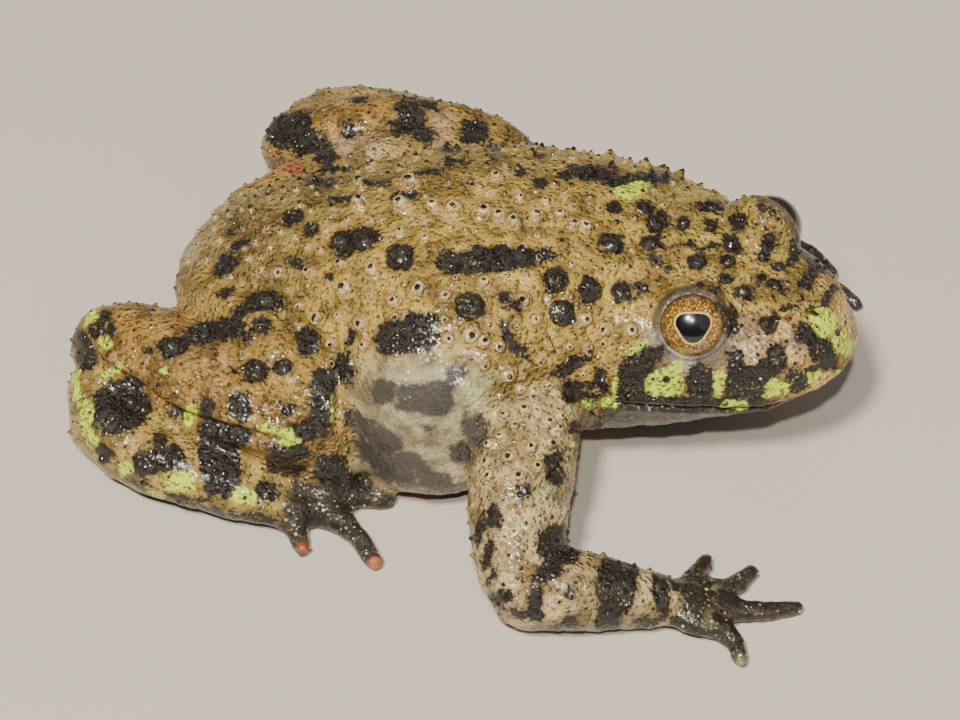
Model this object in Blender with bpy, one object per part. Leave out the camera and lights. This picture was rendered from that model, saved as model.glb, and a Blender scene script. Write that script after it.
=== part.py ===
"""A fire-bellied toad sitting on the floor, life size, as a still display model.

The toad faces +X with its left side at +Y, and its belly rests on the floor at the origin.
Trunk and head are one loft along a slightly bent spine, parted at the neck and along the mouth.
Each limb is lofted along its bones and carved clear of what it lies against.
Lengths below are millimetres. The meshes are metres.
"""

import math

import bmesh
import bpy
import numpy as np
from mathutils import Matrix, Vector
from mathutils.bvhtree import BVHTree

MM = 0.001
GAP = 0.3  # clearance between touching pieces
FLOOR_SINK = 0.25  # how far soft parts would press into the floor before their flats are cut

# Spine of trunk and head: x, y, heading in degrees, underside, top, half width, height of the widest level
BODY_STATIONS = (
    (-19.5, -1.3, 0, 4.3, 5.7, 1.2, 5.0),
    (-18.5, -1.3, 0, 3.0, 7.6, 3.3, 5.0),
    (-16.4, -1.3, 0, 1.4, 9.2, 5.4, 4.8),
    (-13.0, -1.3, 0, 0.3, 10.9, 7.0, 4.6),
    (-9.0, -1.3, 0, -FLOOR_SINK, 12.4, 8.6, 4.0),
    (-5.5, -1.2, 0, -FLOOR_SINK, 13.5, 10.8, 3.4),
    (-1.5, -1.2, 0, -FLOOR_SINK, 14.3, 12.7, 3.0),
    (2.5, -0.5, 0, -FLOOR_SINK, 14.4, 12.4, 3.2),
    (6.4, 0.9, -4, 0.3, 14.0, 10.9, 4.4),
    (9.6, 1.6, -10, 1.2, 13.4, 9.6, 5.7),
    (12.8, 1.2, -13, 2.1, 12.9, 8.7, 6.4),
    (15.8, 0.9, -14, 3.1, 12.4, 7.7, 6.8),
    (18.7, 0.55, -14, 4.4, 11.8, 6.4, 7.1),
    (21.2, 0.1, -13, 5.5, 11.1, 4.8, 7.5),
    (22.6, -0.15, -13, 6.3, 10.3, 3.2, 7.9),
    (23.4, -0.35, -13, 7.1, 9.5, 1.6, 8.3),
)
BODY_RINGS = 40
BODY_SIDES = 32
BODY_END = 0.45  # how far the poles of nose and rump lie past the end stations
UPPER_SQUARENESS = 2.3
LOWER_SQUARENESS = 2.6
CAP_BENDS = (30, 60)  # degrees round each end of a limb where its cap has a ring
CUT_REACH = 100  # wider than the toad

NECK_POINT = (10.6, 1.2)
NECK_HEADING = -11.0

# The head's own frame: its origin is midway between the eyes
HEAD_CENTRE = (15.85, 1.18, 11.5)
HEAD_HEADING = -16.5
EYE_OUT = 4.82
EYE_RADIUS = 2.08
LID_THICKNESS = 0.34
EYE_YAW = 58.0  # how far the gaze turns outwards from straight ahead
EYE_LIFT = 36.0
EYE_SEGMENTS = 18
EYE_RINGS = 10
LID_OPENING = 1.85
LID_OPENING_START = 1.2
LID_OPENING_DEPTH = 3.0  # past the eyeball's surface
LID_OPENING_FLARE = 1.1
LID_OPENING_HEIGHT = 0.94  # of its width

# Mouth line in the head's own frame: ahead, up. The jaw lies below it and ahead of its first point
MOUTH_LINE = ((-4.2, -4.7), (-2.6, -4.4), (0.0, -4.5), (3.5, -4.7), (6.0, -4.6), (8.0, -4.2), (12.0, -3.2))
THROAT_CUT = (-3.4, -9.5)
THROAT_DEPTH = -20.0
LIP_RADIUS = 0.5
LIP_RISE = 0.75  # of its radius, above the gap
LIP_INSET = 0.55  # of its radius, in from the side of the head
LIP_START = 0.6  # ahead of the mouth line's first point
NOSTRIL_AHEAD = 5.6
NOSTRIL_OUT = 0.95
NOSTRIL_RIM = 0.55
NOSTRIL_PIT = 0.3
NOSTRIL_RIM_SINK = 0.25
NOSTRIL_PIT_RISE = 0.2
NOSTRIL_SEGMENTS = 8
NOSTRIL_RINGS = 6

# Limb bones: x, y, z, half width, half height
THIGH_ROWS = {
    "right": (
        (-16.2, -3.4, 5.8, 3.2, 3.0),
        (-12.4, -7.1, 6.3, 3.6, 3.4),
        (-8.8, -9.9, 5.9, 3.6, 3.4),
        (-7.2, -11.2, 5.2, 3.3, 3.2),
    ),
    "left": (
        (-15.6, 1.6, 5.8, 3.2, 3.0),
        (-11.2, 5.8, 6.1, 3.6, 3.3),
        (-6.0, 9.8, 5.6, 3.5, 3.3),
        (-3.6, 11.4, 5.1, 3.2, 3.1),
    ),
}
SHANK_ROWS = {
    "right": (
        (-8.0, -12.0, 4.6, 3.3, 3.3),
        (-14.1, -11.0, 4.9, 3.4, 3.4),
        (-18.6, -9.5, 4.8, 3.3, 3.2),
        (-21.7, -9.1, 4.3, 2.7, 2.8),
    ),
    "left": (
        (-3.2, 12.8, 4.7, 3.3, 3.3),
        (-7.4, 12.9, 5.0, 3.4, 3.4),
        (-12.4, 12.0, 5.0, 3.2, 3.2),
        (-15.8, 11.4, 4.3, 2.6, 2.7),
    ),
}
UPPER_ARM_ROWS = {
    "right": (
        (5.8, -7.4, 6.2, 3.0, 3.0),
        (6.0, -10.6, 5.7, 3.3, 3.2),
        (6.5, -13.8, 4.7, 3.2, 3.0),
        (7.3, -17.2, 3.3, 2.8, 2.5),
        (7.9, -18.8, 2.7, 2.5, 2.2),
    ),
    "left": (
        (7.6, 7.6, 6.0, 3.0, 3.0),
        (7.4, 9.8, 5.4, 3.1, 3.1),
        (7.0, 11.6, 4.3, 3.0, 2.9),
        (6.8, 12.8, 3.4, 2.8, 2.5),
        (7.0, 13.4, 2.9, 2.5, 2.3),
    ),
}
FOREARM_ROWS = {
    "right": (
        (8.2, -18.9, 2.4, 3.0, 2.6),
        (11.0, -18.4, 2.2, 2.7, 2.4),
        (14.0, -17.8, 1.8, 2.1, 1.95),
        (16.4, -17.1, 1.4, 1.8, 1.5),
    ),
    "left": (
        (7.2, 12.9, 2.3, 2.8, 2.5),
        (10.2, 13.4, 2.1, 2.3, 2.3),
        (12.8, 13.8, 1.7, 1.9, 1.9),
        (14.7, 14.0, 1.3, 1.7, 1.5),
    ),
}

# Hands and feet in frames of their own: ahead, outwards, height. The frame starts at the wrist or the heel
HAND_FRAMES = {"right": (16.8, -17.1, 0.0), "left": (15.1, 14.0, -4.0)}
HAND_PALM = ((0.2, 0.0, 1.3, 1.6, 1.2), (1.4, -0.3, 1.1, 2.1, 1.1), (2.6, -0.5, 0.9, 2.0, 0.85))
FIRST_FINGERS = (
    ((0.7, -1.6), (1.1, -3.2), (1.3, -4.5)),
    ((1.9, -1.8), (3.3, -2.7), (4.2, -4.5)),
    ((2.6, -0.8), (5.1, -1.3), (7.5, -2.4)),
)
FOURTH_FINGER = {"right": ((2.4, 0.7), (4.1, 0.8), (5.2, 2.4)), "left": ((2.4, 0.6), (4.0, 0.4), (5.2, -0.3))}
FINGER_HALF_WIDTHS = (0.85, 0.7, 0.55)
DIGIT_RISES = (1.15, 0.95, 0.85)  # height of a digit's middle at root, bend and tip, in half widths
DIGIT_HEIGHT = 0.95  # of its width
FOOT_FRAMES = {"right": (-21.6, -11.8, -10.0), "left": (-16.2, 13.6, 6.0)}
FOOT_TARSUS = (
    (0.0, 0.2, 3.2, 2.0, 2.3),
    (1.5, 2.4, 2.7, 2.1, 2.4),
    (4.7, 3.0, 2.5, 2.2, 2.3),
    (9.0, 2.6, 2.1, 2.3, 2.1),
    (12.5, 1.6, 1.5, 2.5, 1.5),
    (14.7, 0.7, 1.1, 2.6, 1.1),
)
FOOT_DIGITS = (
    ((14.0, -1.0), (15.0, -1.8), (15.8, -2.4)),
    ((15.1, -0.8), (16.4, -1.6), (17.6, -2.3)),
    ((15.8, -0.1), (17.6, -0.9), (19.3, -1.8)),
    ((16.0, 0.7), (18.8, 1.6), (21.0, 3.0)),
    ((13.8, 2.0), (15.2, 2.8), (16.4, 3.9)),
)
TOE_HALF_WIDTHS = (0.9, 0.75, 0.6)
WEB_THICKNESS = 0.6
WEB_REACH = 0.45  # share of each toe that the web joins
WEB_FULLNESS = 0.65  # how far the web's middle is drawn out between the toes

# Warts: a low dome with a pointed tip
WART_SIDES = 6
WART_SEED = 11
WART_ROOT = 0.35
WART_LINE = 7.0  # the flanks below this height are smooth
RUMP_LINE = -17.5
LIMB_WART_LINE = 2.6
BACK_SLOPE = 0.2  # least upward share of the normal where warts grow
LIMB_SLOPE = 0.1
CROWN_SLOPE = 0.55
CROWN_FRONT = 4.9  # ahead of the head's centre
EYE_CLEARANCE = 2.2
WART_SPACING = 1.3  # of the two radii together
WART_EDGE = 1.2  # least distance from a neighbouring piece, in radii
WART_TRIES = 4000
WART_RINGS = ((1.08, 0.0), (0.55, 0.38))  # radius and height of each ring, in wart radii
WARTS = {"torso": 58, "head": 15, "thigh": 5, "shank": 7, "upper_arm": 4, "forearm": 3}
WART_RADII = {"torso": (0.6, 1.0), "head": (0.45, 0.7), "thigh": (0.5, 0.75), "shank": (0.5, 0.8)}
WART_RADII.update({"upper_arm": (0.4, 0.6), "forearm": (0.4, 0.55)})
WART_HEIGHT = 0.62  # of its radius

SKIN_COLOUR = (0.36, 0.27, 0.11)
LEG_COLOUR = (0.33, 0.24, 0.10)
JAW_COLOUR = (0.30, 0.24, 0.12)
FOOT_COLOUR = (0.16, 0.12, 0.08)
EYE_COLOUR = (0.62, 0.40, 0.12)

SIDES = {"right": -1, "left": 1}


def clear_scene():
    for old in list(bpy.data.objects):
        bpy.data.objects.remove(old)


def coat(name, colour, roughness):
    material = bpy.data.materials.new(name)
    material.use_nodes = True
    shader = material.node_tree.nodes["Principled BSDF"]
    shader.inputs["Base Color"].default_value = (*colour, 1.0)
    shader.inputs["Roughness"].default_value = roughness
    material.diffuse_color = (*colour, 1.0)
    return material


def smooth_rows(rows, count):
    """Rows of numbers read off a smooth curve through the given rows, evenly along its length."""
    rows = np.array(rows, float)
    width = min(3, rows.shape[1])
    steps = np.linalg.norm(np.diff(rows[:, :width], axis=0), axis=1)
    knots = np.concatenate([[0.0], np.cumsum(np.maximum(steps, 1e-6))])
    slopes = np.gradient(rows, knots, axis=0)
    out = []
    for place in np.linspace(0.0, knots[-1], count):
        i = min(int(np.searchsorted(knots, place, side="right")) - 1, len(rows) - 2)
        span = knots[i + 1] - knots[i]
        t = (place - knots[i]) / span
        start = (1 + 2 * t) * (1 - t) ** 2 * rows[i] + t * (1 - t) ** 2 * span * slopes[i]
        end = t * t * (3 - 2 * t) * rows[i + 1] + t * t * (t - 1) * span * slopes[i + 1]
        out.append(start + end)
    return np.array(out)


def mesh_object(name, points, faces, material=None):
    mesh = bpy.data.meshes.new(name)
    mesh.from_pydata([Vector(p) * MM for p in points], [], faces)
    obj = bpy.data.objects.new(name, mesh)
    bpy.context.scene.collection.objects.link(obj)
    if material:
        mesh.materials.append(material)
    edit = bmesh.new()
    edit.from_mesh(mesh)
    bmesh.ops.recalc_face_normals(edit, faces=edit.faces)
    edit.to_mesh(mesh)
    edit.free()
    return obj


def ring_loft(name, rings, first, last, material=None):
    """A closed skin over rings of equally many points, with a pole point at each end."""
    sides = len(rings[0])
    points = [first] + [p for ring in rings for p in ring] + [last]
    faces = []
    for k in range(sides):
        after = (k + 1) % sides
        faces.append((0, 1 + after, 1 + k))
        tail = 1 + (len(rings) - 1) * sides
        faces.append((len(points) - 1, tail + k, tail + after))
        for r in range(len(rings) - 1):
            a = 1 + r * sides
            b = a + sides
            faces.append((a + k, a + after, b + after, b + k))
    return mesh_object(name, points, faces, material)


def body_ring(row, grow):
    x, y, heading, low, top, half, level = row
    turn = math.radians(heading)
    left = (-math.sin(turn), math.cos(turn))
    half, low, top = half + grow, low - grow, top + grow
    ring = []
    for k in range(BODY_SIDES):
        angle = 2 * math.pi * k / BODY_SIDES
        c, s = math.cos(angle), math.sin(angle)
        power = 2 / (UPPER_SQUARENESS if s > 0 else LOWER_SQUARENESS)
        across = half * math.copysign(abs(c) ** power, c)
        rise = (top - level if s > 0 else level - low) * math.copysign(abs(s) ** power, s)
        ring.append((x + left[0] * across, y + left[1] * across, level + rise))
    return ring


def body_loft(name, grow=0.0):
    rows = smooth_rows(BODY_STATIONS, BODY_RINGS)
    rings = [body_ring(row, grow) for row in rows]
    ends = []
    for row, ahead in ((rows[0], -1), (rows[-1], 1)):
        turn = math.radians(row[2])
        reach = ahead * (BODY_END + grow)
        ends.append((row[0] + reach * math.cos(turn), row[1] + reach * math.sin(turn), row[6]))
    return ring_loft(name, rings, ends[0], ends[1])


def tube(name, rows, sides=12, rings=10, grow=0.0, up=(0, 0, 1), material=None):
    """A limb or finger: rows of x, y, z, half width, half height along its bones, with round ends."""
    rows = smooth_rows(rows, rings)
    rows[:, 3:5] += grow
    path = rows[:, :3]
    ahead = np.gradient(path, axis=0)
    ahead /= np.linalg.norm(ahead, axis=1)[:, None]
    capped = []
    for end, toward in ((0, -1), (-1, 1)):
        caps = []
        for bend in CAP_BENDS:
            swell = math.cos(math.radians(bend))
            push = math.sin(math.radians(bend)) * min(rows[end, 3], rows[end, 4]) * toward
            row = rows[end].copy()
            row[:3] += ahead[end] * push
            row[3:5] *= swell
            caps.append((row, ahead[end]))
        capped.append(caps)
    spread = list(reversed(capped[0])) + list(zip(rows, ahead)) + capped[1]
    rings_out = []
    for row, direction in spread:
        side = np.cross(np.array(up, float), direction)
        side /= np.linalg.norm(side)
        over = np.cross(direction, side)
        ring = []
        for k in range(sides):
            angle = 2 * math.pi * k / sides
            ring.append(row[:3] + side * row[3] * math.cos(angle) + over * row[4] * math.sin(angle))
        rings_out.append(ring)
    tips = []
    for end, toward in ((0, -1), (-1, 1)):
        tips.append(path[end] + ahead[end] * toward * min(rows[end, 3], rows[end, 4]))
    return ring_loft(name, rings_out, tips[0], tips[1], material)


def placed_shape(name, edit, centre, turn, size):
    """An object from a unit shape, stretched, turned and moved to its centre."""
    shape = Matrix.Translation(centre) @ turn.to_4x4() @ Matrix.Diagonal((*size, 1.0))
    bmesh.ops.transform(edit, matrix=Matrix.Scale(MM, 4) @ shape, verts=edit.verts)
    mesh = bpy.data.meshes.new(name)
    edit.to_mesh(mesh)
    edit.free()
    obj = bpy.data.objects.new(name, mesh)
    bpy.context.scene.collection.objects.link(obj)
    return obj


def ball(name, centre, radius, segments, rings, turn=Matrix.Identity(3)):
    edit = bmesh.new()
    bmesh.ops.create_uvsphere(edit, u_segments=segments, v_segments=rings, radius=1.0)
    return placed_shape(name, edit, centre, turn, (radius, radius, radius))


def box(name, centre, size, heading=0.0):
    edit = bmesh.new()
    bmesh.ops.create_cube(edit, size=1.0)
    return placed_shape(name, edit, centre, Matrix.Rotation(math.radians(heading), 3, "Z"), size)


def keep_largest(obj):
    """Leaves only the biggest closed surface of a mesh."""
    edit = bmesh.new()
    edit.from_mesh(obj.data)
    left = set(edit.verts)
    shells = []
    while left:
        shell = {left.pop()}
        edge_of_shell = list(shell)
        while edge_of_shell:
            vert = edge_of_shell.pop()
            for edge in vert.link_edges:
                other = edge.other_vert(vert)
                if other in left:
                    left.remove(other)
                    shell.add(other)
                    edge_of_shell.append(other)
        shells.append(shell)
    shells.sort(key=len)
    for shell in shells[:-1]:
        bmesh.ops.delete(edit, geom=list(shell), context="VERTS")
    edit.to_mesh(obj.data)
    edit.free()


def combine(obj, others, operation):
    """Applies one Boolean with all the other meshes to obj, and removes them."""
    group = bpy.data.collections.new("operands")
    bpy.context.scene.collection.children.link(group)
    for other in others:
        group.objects.link(other)
    modifier = obj.modifiers.new("combine", "BOOLEAN")
    modifier.operation = operation
    modifier.operand_type = "COLLECTION"
    modifier.collection = group
    modifier.solver = "MANIFOLD"
    bpy.context.view_layer.update()
    graph = bpy.context.evaluated_depsgraph_get()
    made = bpy.data.meshes.new_from_object(obj.evaluated_get(graph))
    obj.modifiers.clear()
    old, obj.data = obj.data, made
    bpy.data.meshes.remove(old)
    for other in others:
        bpy.data.objects.remove(other)
    bpy.data.collections.remove(group)
    keep_largest(obj)
    return obj


def finish(obj, material):
    obj.data.materials.clear()
    obj.data.materials.append(material)
    obj.data.shade_smooth()
    return obj


def floor_block():
    return box("floor_block", (0, 0, -CUT_REACH / 2), (CUT_REACH, CUT_REACH, CUT_REACH))


def head_place(ahead, left, up):
    """A point of the head's own frame in the toad's frame."""
    turn = math.radians(HEAD_HEADING)
    c, s = math.cos(turn), math.sin(turn)
    x, y, z = HEAD_CENTRE
    return (x + ahead * c - left * s, y + ahead * s + left * c, z + up)


def head_point(point):
    """A point of the toad's frame in the head's own frame."""
    turn = math.radians(HEAD_HEADING)
    c, s = math.cos(turn), math.sin(turn)
    x, y, z = (point[i] - HEAD_CENTRE[i] for i in range(3))
    return (x * c + y * s, y * c - x * s, z)


def gaze(side):
    """The way an eye looks, in the toad's frame."""
    turn = math.radians(HEAD_HEADING + side * EYE_YAW)
    lift = math.radians(EYE_LIFT)
    return Vector((math.cos(turn) * math.cos(lift), math.sin(turn) * math.cos(lift), math.sin(lift)))


def eye_centre(side):
    return Vector(head_place(0, side * EYE_OUT, 0))


def prism(name, outline, low, high):
    """An upright slab over a flat outline of x, y points."""
    count = len(outline)
    points = [(*p, low) for p in outline] + [(*p, high) for p in outline]
    faces = [tuple(range(count)), tuple(range(count, 2 * count))]
    for k in range(count):
        after = (k + 1) % count
        faces.append((k, after, count + after, count + k))
    return mesh_object(name, points, faces)


def mouth_slab(name, grow):
    """The room of the lower jaw: below the mouth line and ahead of the throat cut, across the whole head."""
    outline = [(a, u + grow) for a, u in MOUTH_LINE]
    outline[0] = (outline[0][0] - grow, outline[0][1])
    outline.append((MOUTH_LINE[-1][0], THROAT_DEPTH))
    outline.append((THROAT_CUT[0] - grow, THROAT_DEPTH))
    outline.append((THROAT_CUT[0] - grow, THROAT_CUT[1]))
    points = [head_place(a, left, u) for left in (-CUT_REACH, CUT_REACH) for a, u in outline]
    count = len(outline)
    faces = [tuple(range(count)), tuple(range(count, 2 * count))]
    for k in range(count):
        after = (k + 1) % count
        faces.append((k, after, count + after, count + k))
    return mesh_object(name, points, faces)


def surface_below(obj, x, y):
    """The point and the normal of a mesh straight below a place, in millimetres."""
    _, place, normal, _ = obj.ray_cast(Vector((x, y, CUT_REACH)) * MM, Vector((0, 0, -1)))
    return place / MM, normal


def lip_tube(name):
    """A ridge that follows the head's outline just above the mouth line."""
    near = []
    far = []
    for row in smooth_rows(BODY_STATIONS, BODY_RINGS):
        x, y, heading, low, top, half, level = row
        ahead = head_point((x, y, 0))[0]
        if ahead < MOUTH_LINE[0][0] + LIP_START:
            continue
        line = np.interp(ahead, [p[0] for p in MOUTH_LINE], [p[1] for p in MOUTH_LINE])
        height = HEAD_CENTRE[2] + line + GAP + LIP_RADIUS * LIP_RISE
        share = abs(level - height) / (level - low if height < level else top - level)
        across = half * (1 - share ** LOWER_SQUARENESS) ** (1 / LOWER_SQUARENESS) - LIP_RADIUS * LIP_INSET
        turn = math.radians(heading)
        out = (math.sin(turn) * across, math.cos(turn) * across)
        far.append((x - out[0], y + out[1], height, LIP_RADIUS, LIP_RADIUS))
        near.append((x + out[0], y - out[1], height, LIP_RADIUS, LIP_RADIUS))
    return tube(name, near + far[::-1], sides=6, rings=32)


def trunk_and_head(skin, jaw_coat):
    """One loft, cut through at the neck and along the mouth."""
    turn = math.radians(NECK_HEADING)
    pieces = {}
    for name, side in (("torso", 1), ("head", -1), ("jaw", -1)):
        part = body_loft(name)
        reach = side * (CUT_REACH - GAP) / 2
        centre = (NECK_POINT[0] + reach * math.cos(turn), NECK_POINT[1] + reach * math.sin(turn), 0)
        combine(part, [box("cut", centre, (CUT_REACH, CUT_REACH, CUT_REACH), NECK_HEADING)], "DIFFERENCE")
        pieces[name] = finish(part, jaw_coat if name == "jaw" else skin)
    combine(pieces["torso"], [floor_block()], "DIFFERENCE")
    combine(pieces["jaw"], [mouth_slab("mouth", 0.0)], "INTERSECT")
    head = pieces["head"]
    nostrils = []
    for side in SIDES.values():
        place = head_place(NOSTRIL_AHEAD, side * NOSTRIL_OUT, 0)
        nostrils.append(surface_below(head, place[0], place[1]))
    added = [lip_tube("lip")]
    cut = [mouth_slab("mouth", GAP)]
    for side in SIDES.values():
        added.append(ball("lid", eye_centre(side), EYE_RADIUS + GAP + LID_THICKNESS, EYE_SEGMENTS, EYE_RINGS))
    for place, normal in nostrils:
        rim_centre = place - normal * NOSTRIL_RIM_SINK
        pit_centre = place + normal * NOSTRIL_PIT_RISE
        added.append(ball("rim", rim_centre, NOSTRIL_RIM, NOSTRIL_SEGMENTS, NOSTRIL_RINGS))
        cut.append(ball("pit", pit_centre, NOSTRIL_PIT, NOSTRIL_SEGMENTS, NOSTRIL_RINGS))
    combine(head, added, "UNION")
    for side in SIDES.values():
        cut.append(ball("socket", eye_centre(side), EYE_RADIUS + GAP, EYE_SEGMENTS, EYE_RINGS))
        cut.append(lid_opening(side))
    combine(head, cut, "DIFFERENCE")
    return pieces


def lid_opening(side):
    """A short wide tube along the gaze that opens the lids over the eye."""
    look = gaze(side)
    centre = eye_centre(side)
    narrow = (LID_OPENING_START, LID_OPENING)
    wide = (EYE_RADIUS + LID_OPENING_DEPTH, LID_OPENING + LID_OPENING_FLARE)
    rows = []
    for reach, half in (narrow, wide):
        rows.append((*(centre + look * reach), half, half * LID_OPENING_HEIGHT))
    return tube("opening", rows, sides=20, rings=3)


def eyes(material):
    made = {}
    for label, side in SIDES.items():
        turn = gaze(side).to_track_quat("Z", "Y").to_matrix()
        eye = ball("eye_" + label, eye_centre(side), EYE_RADIUS, EYE_SEGMENTS, EYE_RINGS, turn)
        made[eye.name] = finish(eye, material)
    return made


def placed(frame, side, ahead, out):
    """A point of a hand's or foot's own frame on the floor."""
    x, y, heading = frame
    turn = math.radians(heading)
    c, s = math.cos(turn), math.sin(turn)
    return (x + ahead * c - side * out * s, y + ahead * s + side * out * c)


def extremity(name, frame, side, base_rows, digits, half_widths, web):
    """A palm or a sole with its digits, joined, flat underneath."""
    rows = [(*placed(frame, side, r[0], r[1]), *r[2:]) for r in base_rows]
    obj = tube(name, rows, sides=12, rings=8)
    added = []
    for digit in digits:
        line = []
        for (ahead, out), half, rise in zip(digit, half_widths, DIGIT_RISES):
            line.append((*placed(frame, side, ahead, out), half * rise, half, half * DIGIT_HEIGHT))
        added.append(tube(name + "_digit", line, sides=8, rings=4))
    if web:
        for one, other in zip(digits[:-1], digits[1:]):
            outline = [one[0], web_point(one), web_middle(one, other), web_point(other), other[0]]
            outline = [placed(frame, side, *p) for p in outline]
            added.append(prism("web", outline, -FLOOR_SINK, WEB_THICKNESS))
    combine(obj, added, "UNION")
    return combine(obj, [floor_block()], "DIFFERENCE")


def web_point(digit):
    (a, b), (c, d) = digit[0], digit[2]
    return (a + (c - a) * WEB_REACH, b + (d - b) * WEB_REACH)


def web_middle(one, other):
    a, b = web_point(one), web_point(other)
    root = ((one[0][0] + other[0][0]) / 2, (one[0][1] + other[0][1]) / 2)
    return tuple(r + WEB_FULLNESS * ((p + q) / 2 - r) for r, p, q in zip(root, a, b))


def limbs(leg_coat, foot_coat):
    """Each limb from the root outwards, each piece carved clear of what it grows from."""
    made = {}
    for label, side in SIDES.items():
        thigh = tube("thigh_" + label, THIGH_ROWS[label])
        combine(thigh, [body_loft("body", GAP)], "DIFFERENCE")
        shank = tube("shank_" + label, SHANK_ROWS[label])
        combine(shank, [body_loft("body", GAP), tube("other", THIGH_ROWS[label], grow=GAP)], "DIFFERENCE")
        frame = FOOT_FRAMES[label]
        foot = extremity("foot_" + label, frame, side, FOOT_TARSUS, FOOT_DIGITS, TOE_HALF_WIDTHS, True)
        near = [body_loft("body", GAP)]
        near += [tube("other", rows[label], grow=GAP) for rows in (THIGH_ROWS, SHANK_ROWS)]
        combine(foot, near, "DIFFERENCE")
        upper = tube("upper_arm_" + label, UPPER_ARM_ROWS[label])
        combine(upper, [body_loft("body", GAP)], "DIFFERENCE")
        fore = tube("forearm_" + label, FOREARM_ROWS[label])
        combine(fore, [tube("other", UPPER_ARM_ROWS[label], grow=GAP), floor_block()], "DIFFERENCE")
        fingers = (*FIRST_FINGERS, FOURTH_FINGER[label])
        frame = HAND_FRAMES[label]
        hand = extremity("hand_" + label, frame, side, HAND_PALM, fingers, FINGER_HALF_WIDTHS, False)
        combine(hand, [tube("other", FOREARM_ROWS[label], grow=GAP)], "DIFFERENCE")
        for part in (thigh, shank, upper, fore):
            made[part.name] = finish(part, leg_coat)
        for part in (foot, hand):
            made[part.name] = finish(part, foot_coat)
    return made


def wart(name, place, normal, radius, turn):
    """A low dome with a pointed tip and a root below the skin."""
    up = normal.normalized()
    side = up.orthogonal().normalized()
    over = up.cross(side)

    rings = []
    for reach, height in WART_RINGS:
        ring = []
        for k in range(WART_SIDES):
            angle = turn + 2 * math.pi * k / WART_SIDES
            out = (side * math.cos(angle) + over * math.sin(angle)) * reach * radius
            ring.append(place + out + up * (height * radius if height else -WART_ROOT))
        rings.append(ring)
    return ring_loft(name, rings, place - up * WART_ROOT, place + up * radius * WART_HEIGHT)


def tree_of(obj):
    polygons = [tuple(p.vertices) for p in obj.data.polygons]
    return BVHTree.FromPolygons([v.co / MM for v in obj.data.vertices], polygons)


def add_warts(obj, kind, allowed, others, rng):
    """Warts spread over the upper side of a piece, clear of one another and of its neighbours."""
    mesh = obj.data
    mesh.calc_loop_triangles()
    corners = [[mesh.vertices[i].co / MM for i in tri.vertices] for tri in mesh.loop_triangles]
    areas = np.array([tri.area for tri in mesh.loop_triangles])
    chances = areas / areas.sum()
    small, large = WART_RADII[kind]
    sites = []
    domes = []
    for _ in range(WART_TRIES):
        if len(domes) == WARTS[kind]:
            break
        a, b, c = corners[rng.choice(len(corners), p=chances)]
        u, v = sorted(rng.random(2))
        place = a * u + b * (v - u) + c * (1 - v)
        normal = (b - a).cross(c - a).normalized()
        radius = small + (large - small) * rng.random()
        turn = rng.random() * math.pi
        if not allowed(place, normal):
            continue
        if any((place - other).length < (radius + size) * WART_SPACING for other, size in sites):
            continue
        if min(tree.find_nearest(place)[3] for tree in others) < radius * WART_EDGE + GAP:
            continue
        sites.append((place, radius))
        domes.append(wart("wart", place, normal, radius, turn))
    return combine(obj, domes, "UNION")


def on_back(place, normal):
    return normal.z > BACK_SLOPE and place.x > RUMP_LINE and place.z > WART_LINE


def on_crown(place, normal):
    near_eye = min((place - eye_centre(side)).length for side in SIDES.values())
    clear_of_eyes = near_eye > EYE_RADIUS + EYE_CLEARANCE
    return normal.z > CROWN_SLOPE and head_point(place)[0] < CROWN_FRONT and clear_of_eyes


def on_limb(place, normal):
    return normal.z > LIMB_SLOPE and place.z > LIMB_WART_LINE


def warts(pieces):
    rng = np.random.default_rng(WART_SEED)
    trees = {name: tree_of(obj) for name, obj in pieces.items()}
    for name in sorted(pieces):
        kind = name.replace("_left", "").replace("_right", "")
        if kind not in WARTS:
            continue
        allowed = {"torso": on_back, "head": on_crown}.get(kind, on_limb)
        others = [tree for other, tree in trees.items() if other != name]
        material = pieces[name].data.materials[0]
        finish(add_warts(pieces[name], kind, allowed, others, rng), material)


def build_toad():
    skin = coat("skin", SKIN_COLOUR, 0.35)
    leg_coat = coat("leg_skin", LEG_COLOUR, 0.35)
    jaw_coat = coat("jaw_skin", JAW_COLOUR, 0.35)
    foot_coat = coat("foot_skin", FOOT_COLOUR, 0.4)
    pieces = trunk_and_head(skin, jaw_coat)
    pieces.update(eyes(coat("eye", EYE_COLOUR, 0.05)))
    pieces.update(limbs(leg_coat, foot_coat))
    warts(pieces)


clear_scene()
build_toad()
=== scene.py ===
"""Looks of a fire-bellied toad at rest: one moist, warty skin over the whole body, its warts and its eyes.

Places are in the toad's own frame: +X towards the snout, +Y to its left, +Z up, the floor at zero.
MM turns millimetres into metres. Marks on the skin are given where the viewpoint sees them,
in pixels of a picture of 960 by 720.
"""

import math
import random

import bpy
import numpy as np
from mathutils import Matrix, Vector
from mathutils.bvhtree import BVHTree


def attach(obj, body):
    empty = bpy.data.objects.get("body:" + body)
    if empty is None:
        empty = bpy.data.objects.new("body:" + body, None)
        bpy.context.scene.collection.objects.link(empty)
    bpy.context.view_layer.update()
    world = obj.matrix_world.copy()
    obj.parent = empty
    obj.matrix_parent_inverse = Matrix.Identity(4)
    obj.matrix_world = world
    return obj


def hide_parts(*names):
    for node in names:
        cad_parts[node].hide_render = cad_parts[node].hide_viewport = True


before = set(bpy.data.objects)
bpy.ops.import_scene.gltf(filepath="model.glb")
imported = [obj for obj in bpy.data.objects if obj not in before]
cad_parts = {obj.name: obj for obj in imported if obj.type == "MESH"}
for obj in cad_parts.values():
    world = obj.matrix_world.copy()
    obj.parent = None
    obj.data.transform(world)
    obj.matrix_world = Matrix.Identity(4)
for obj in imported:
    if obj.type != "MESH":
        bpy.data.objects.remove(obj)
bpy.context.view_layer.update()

MM = 0.001
SEED = 5

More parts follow.
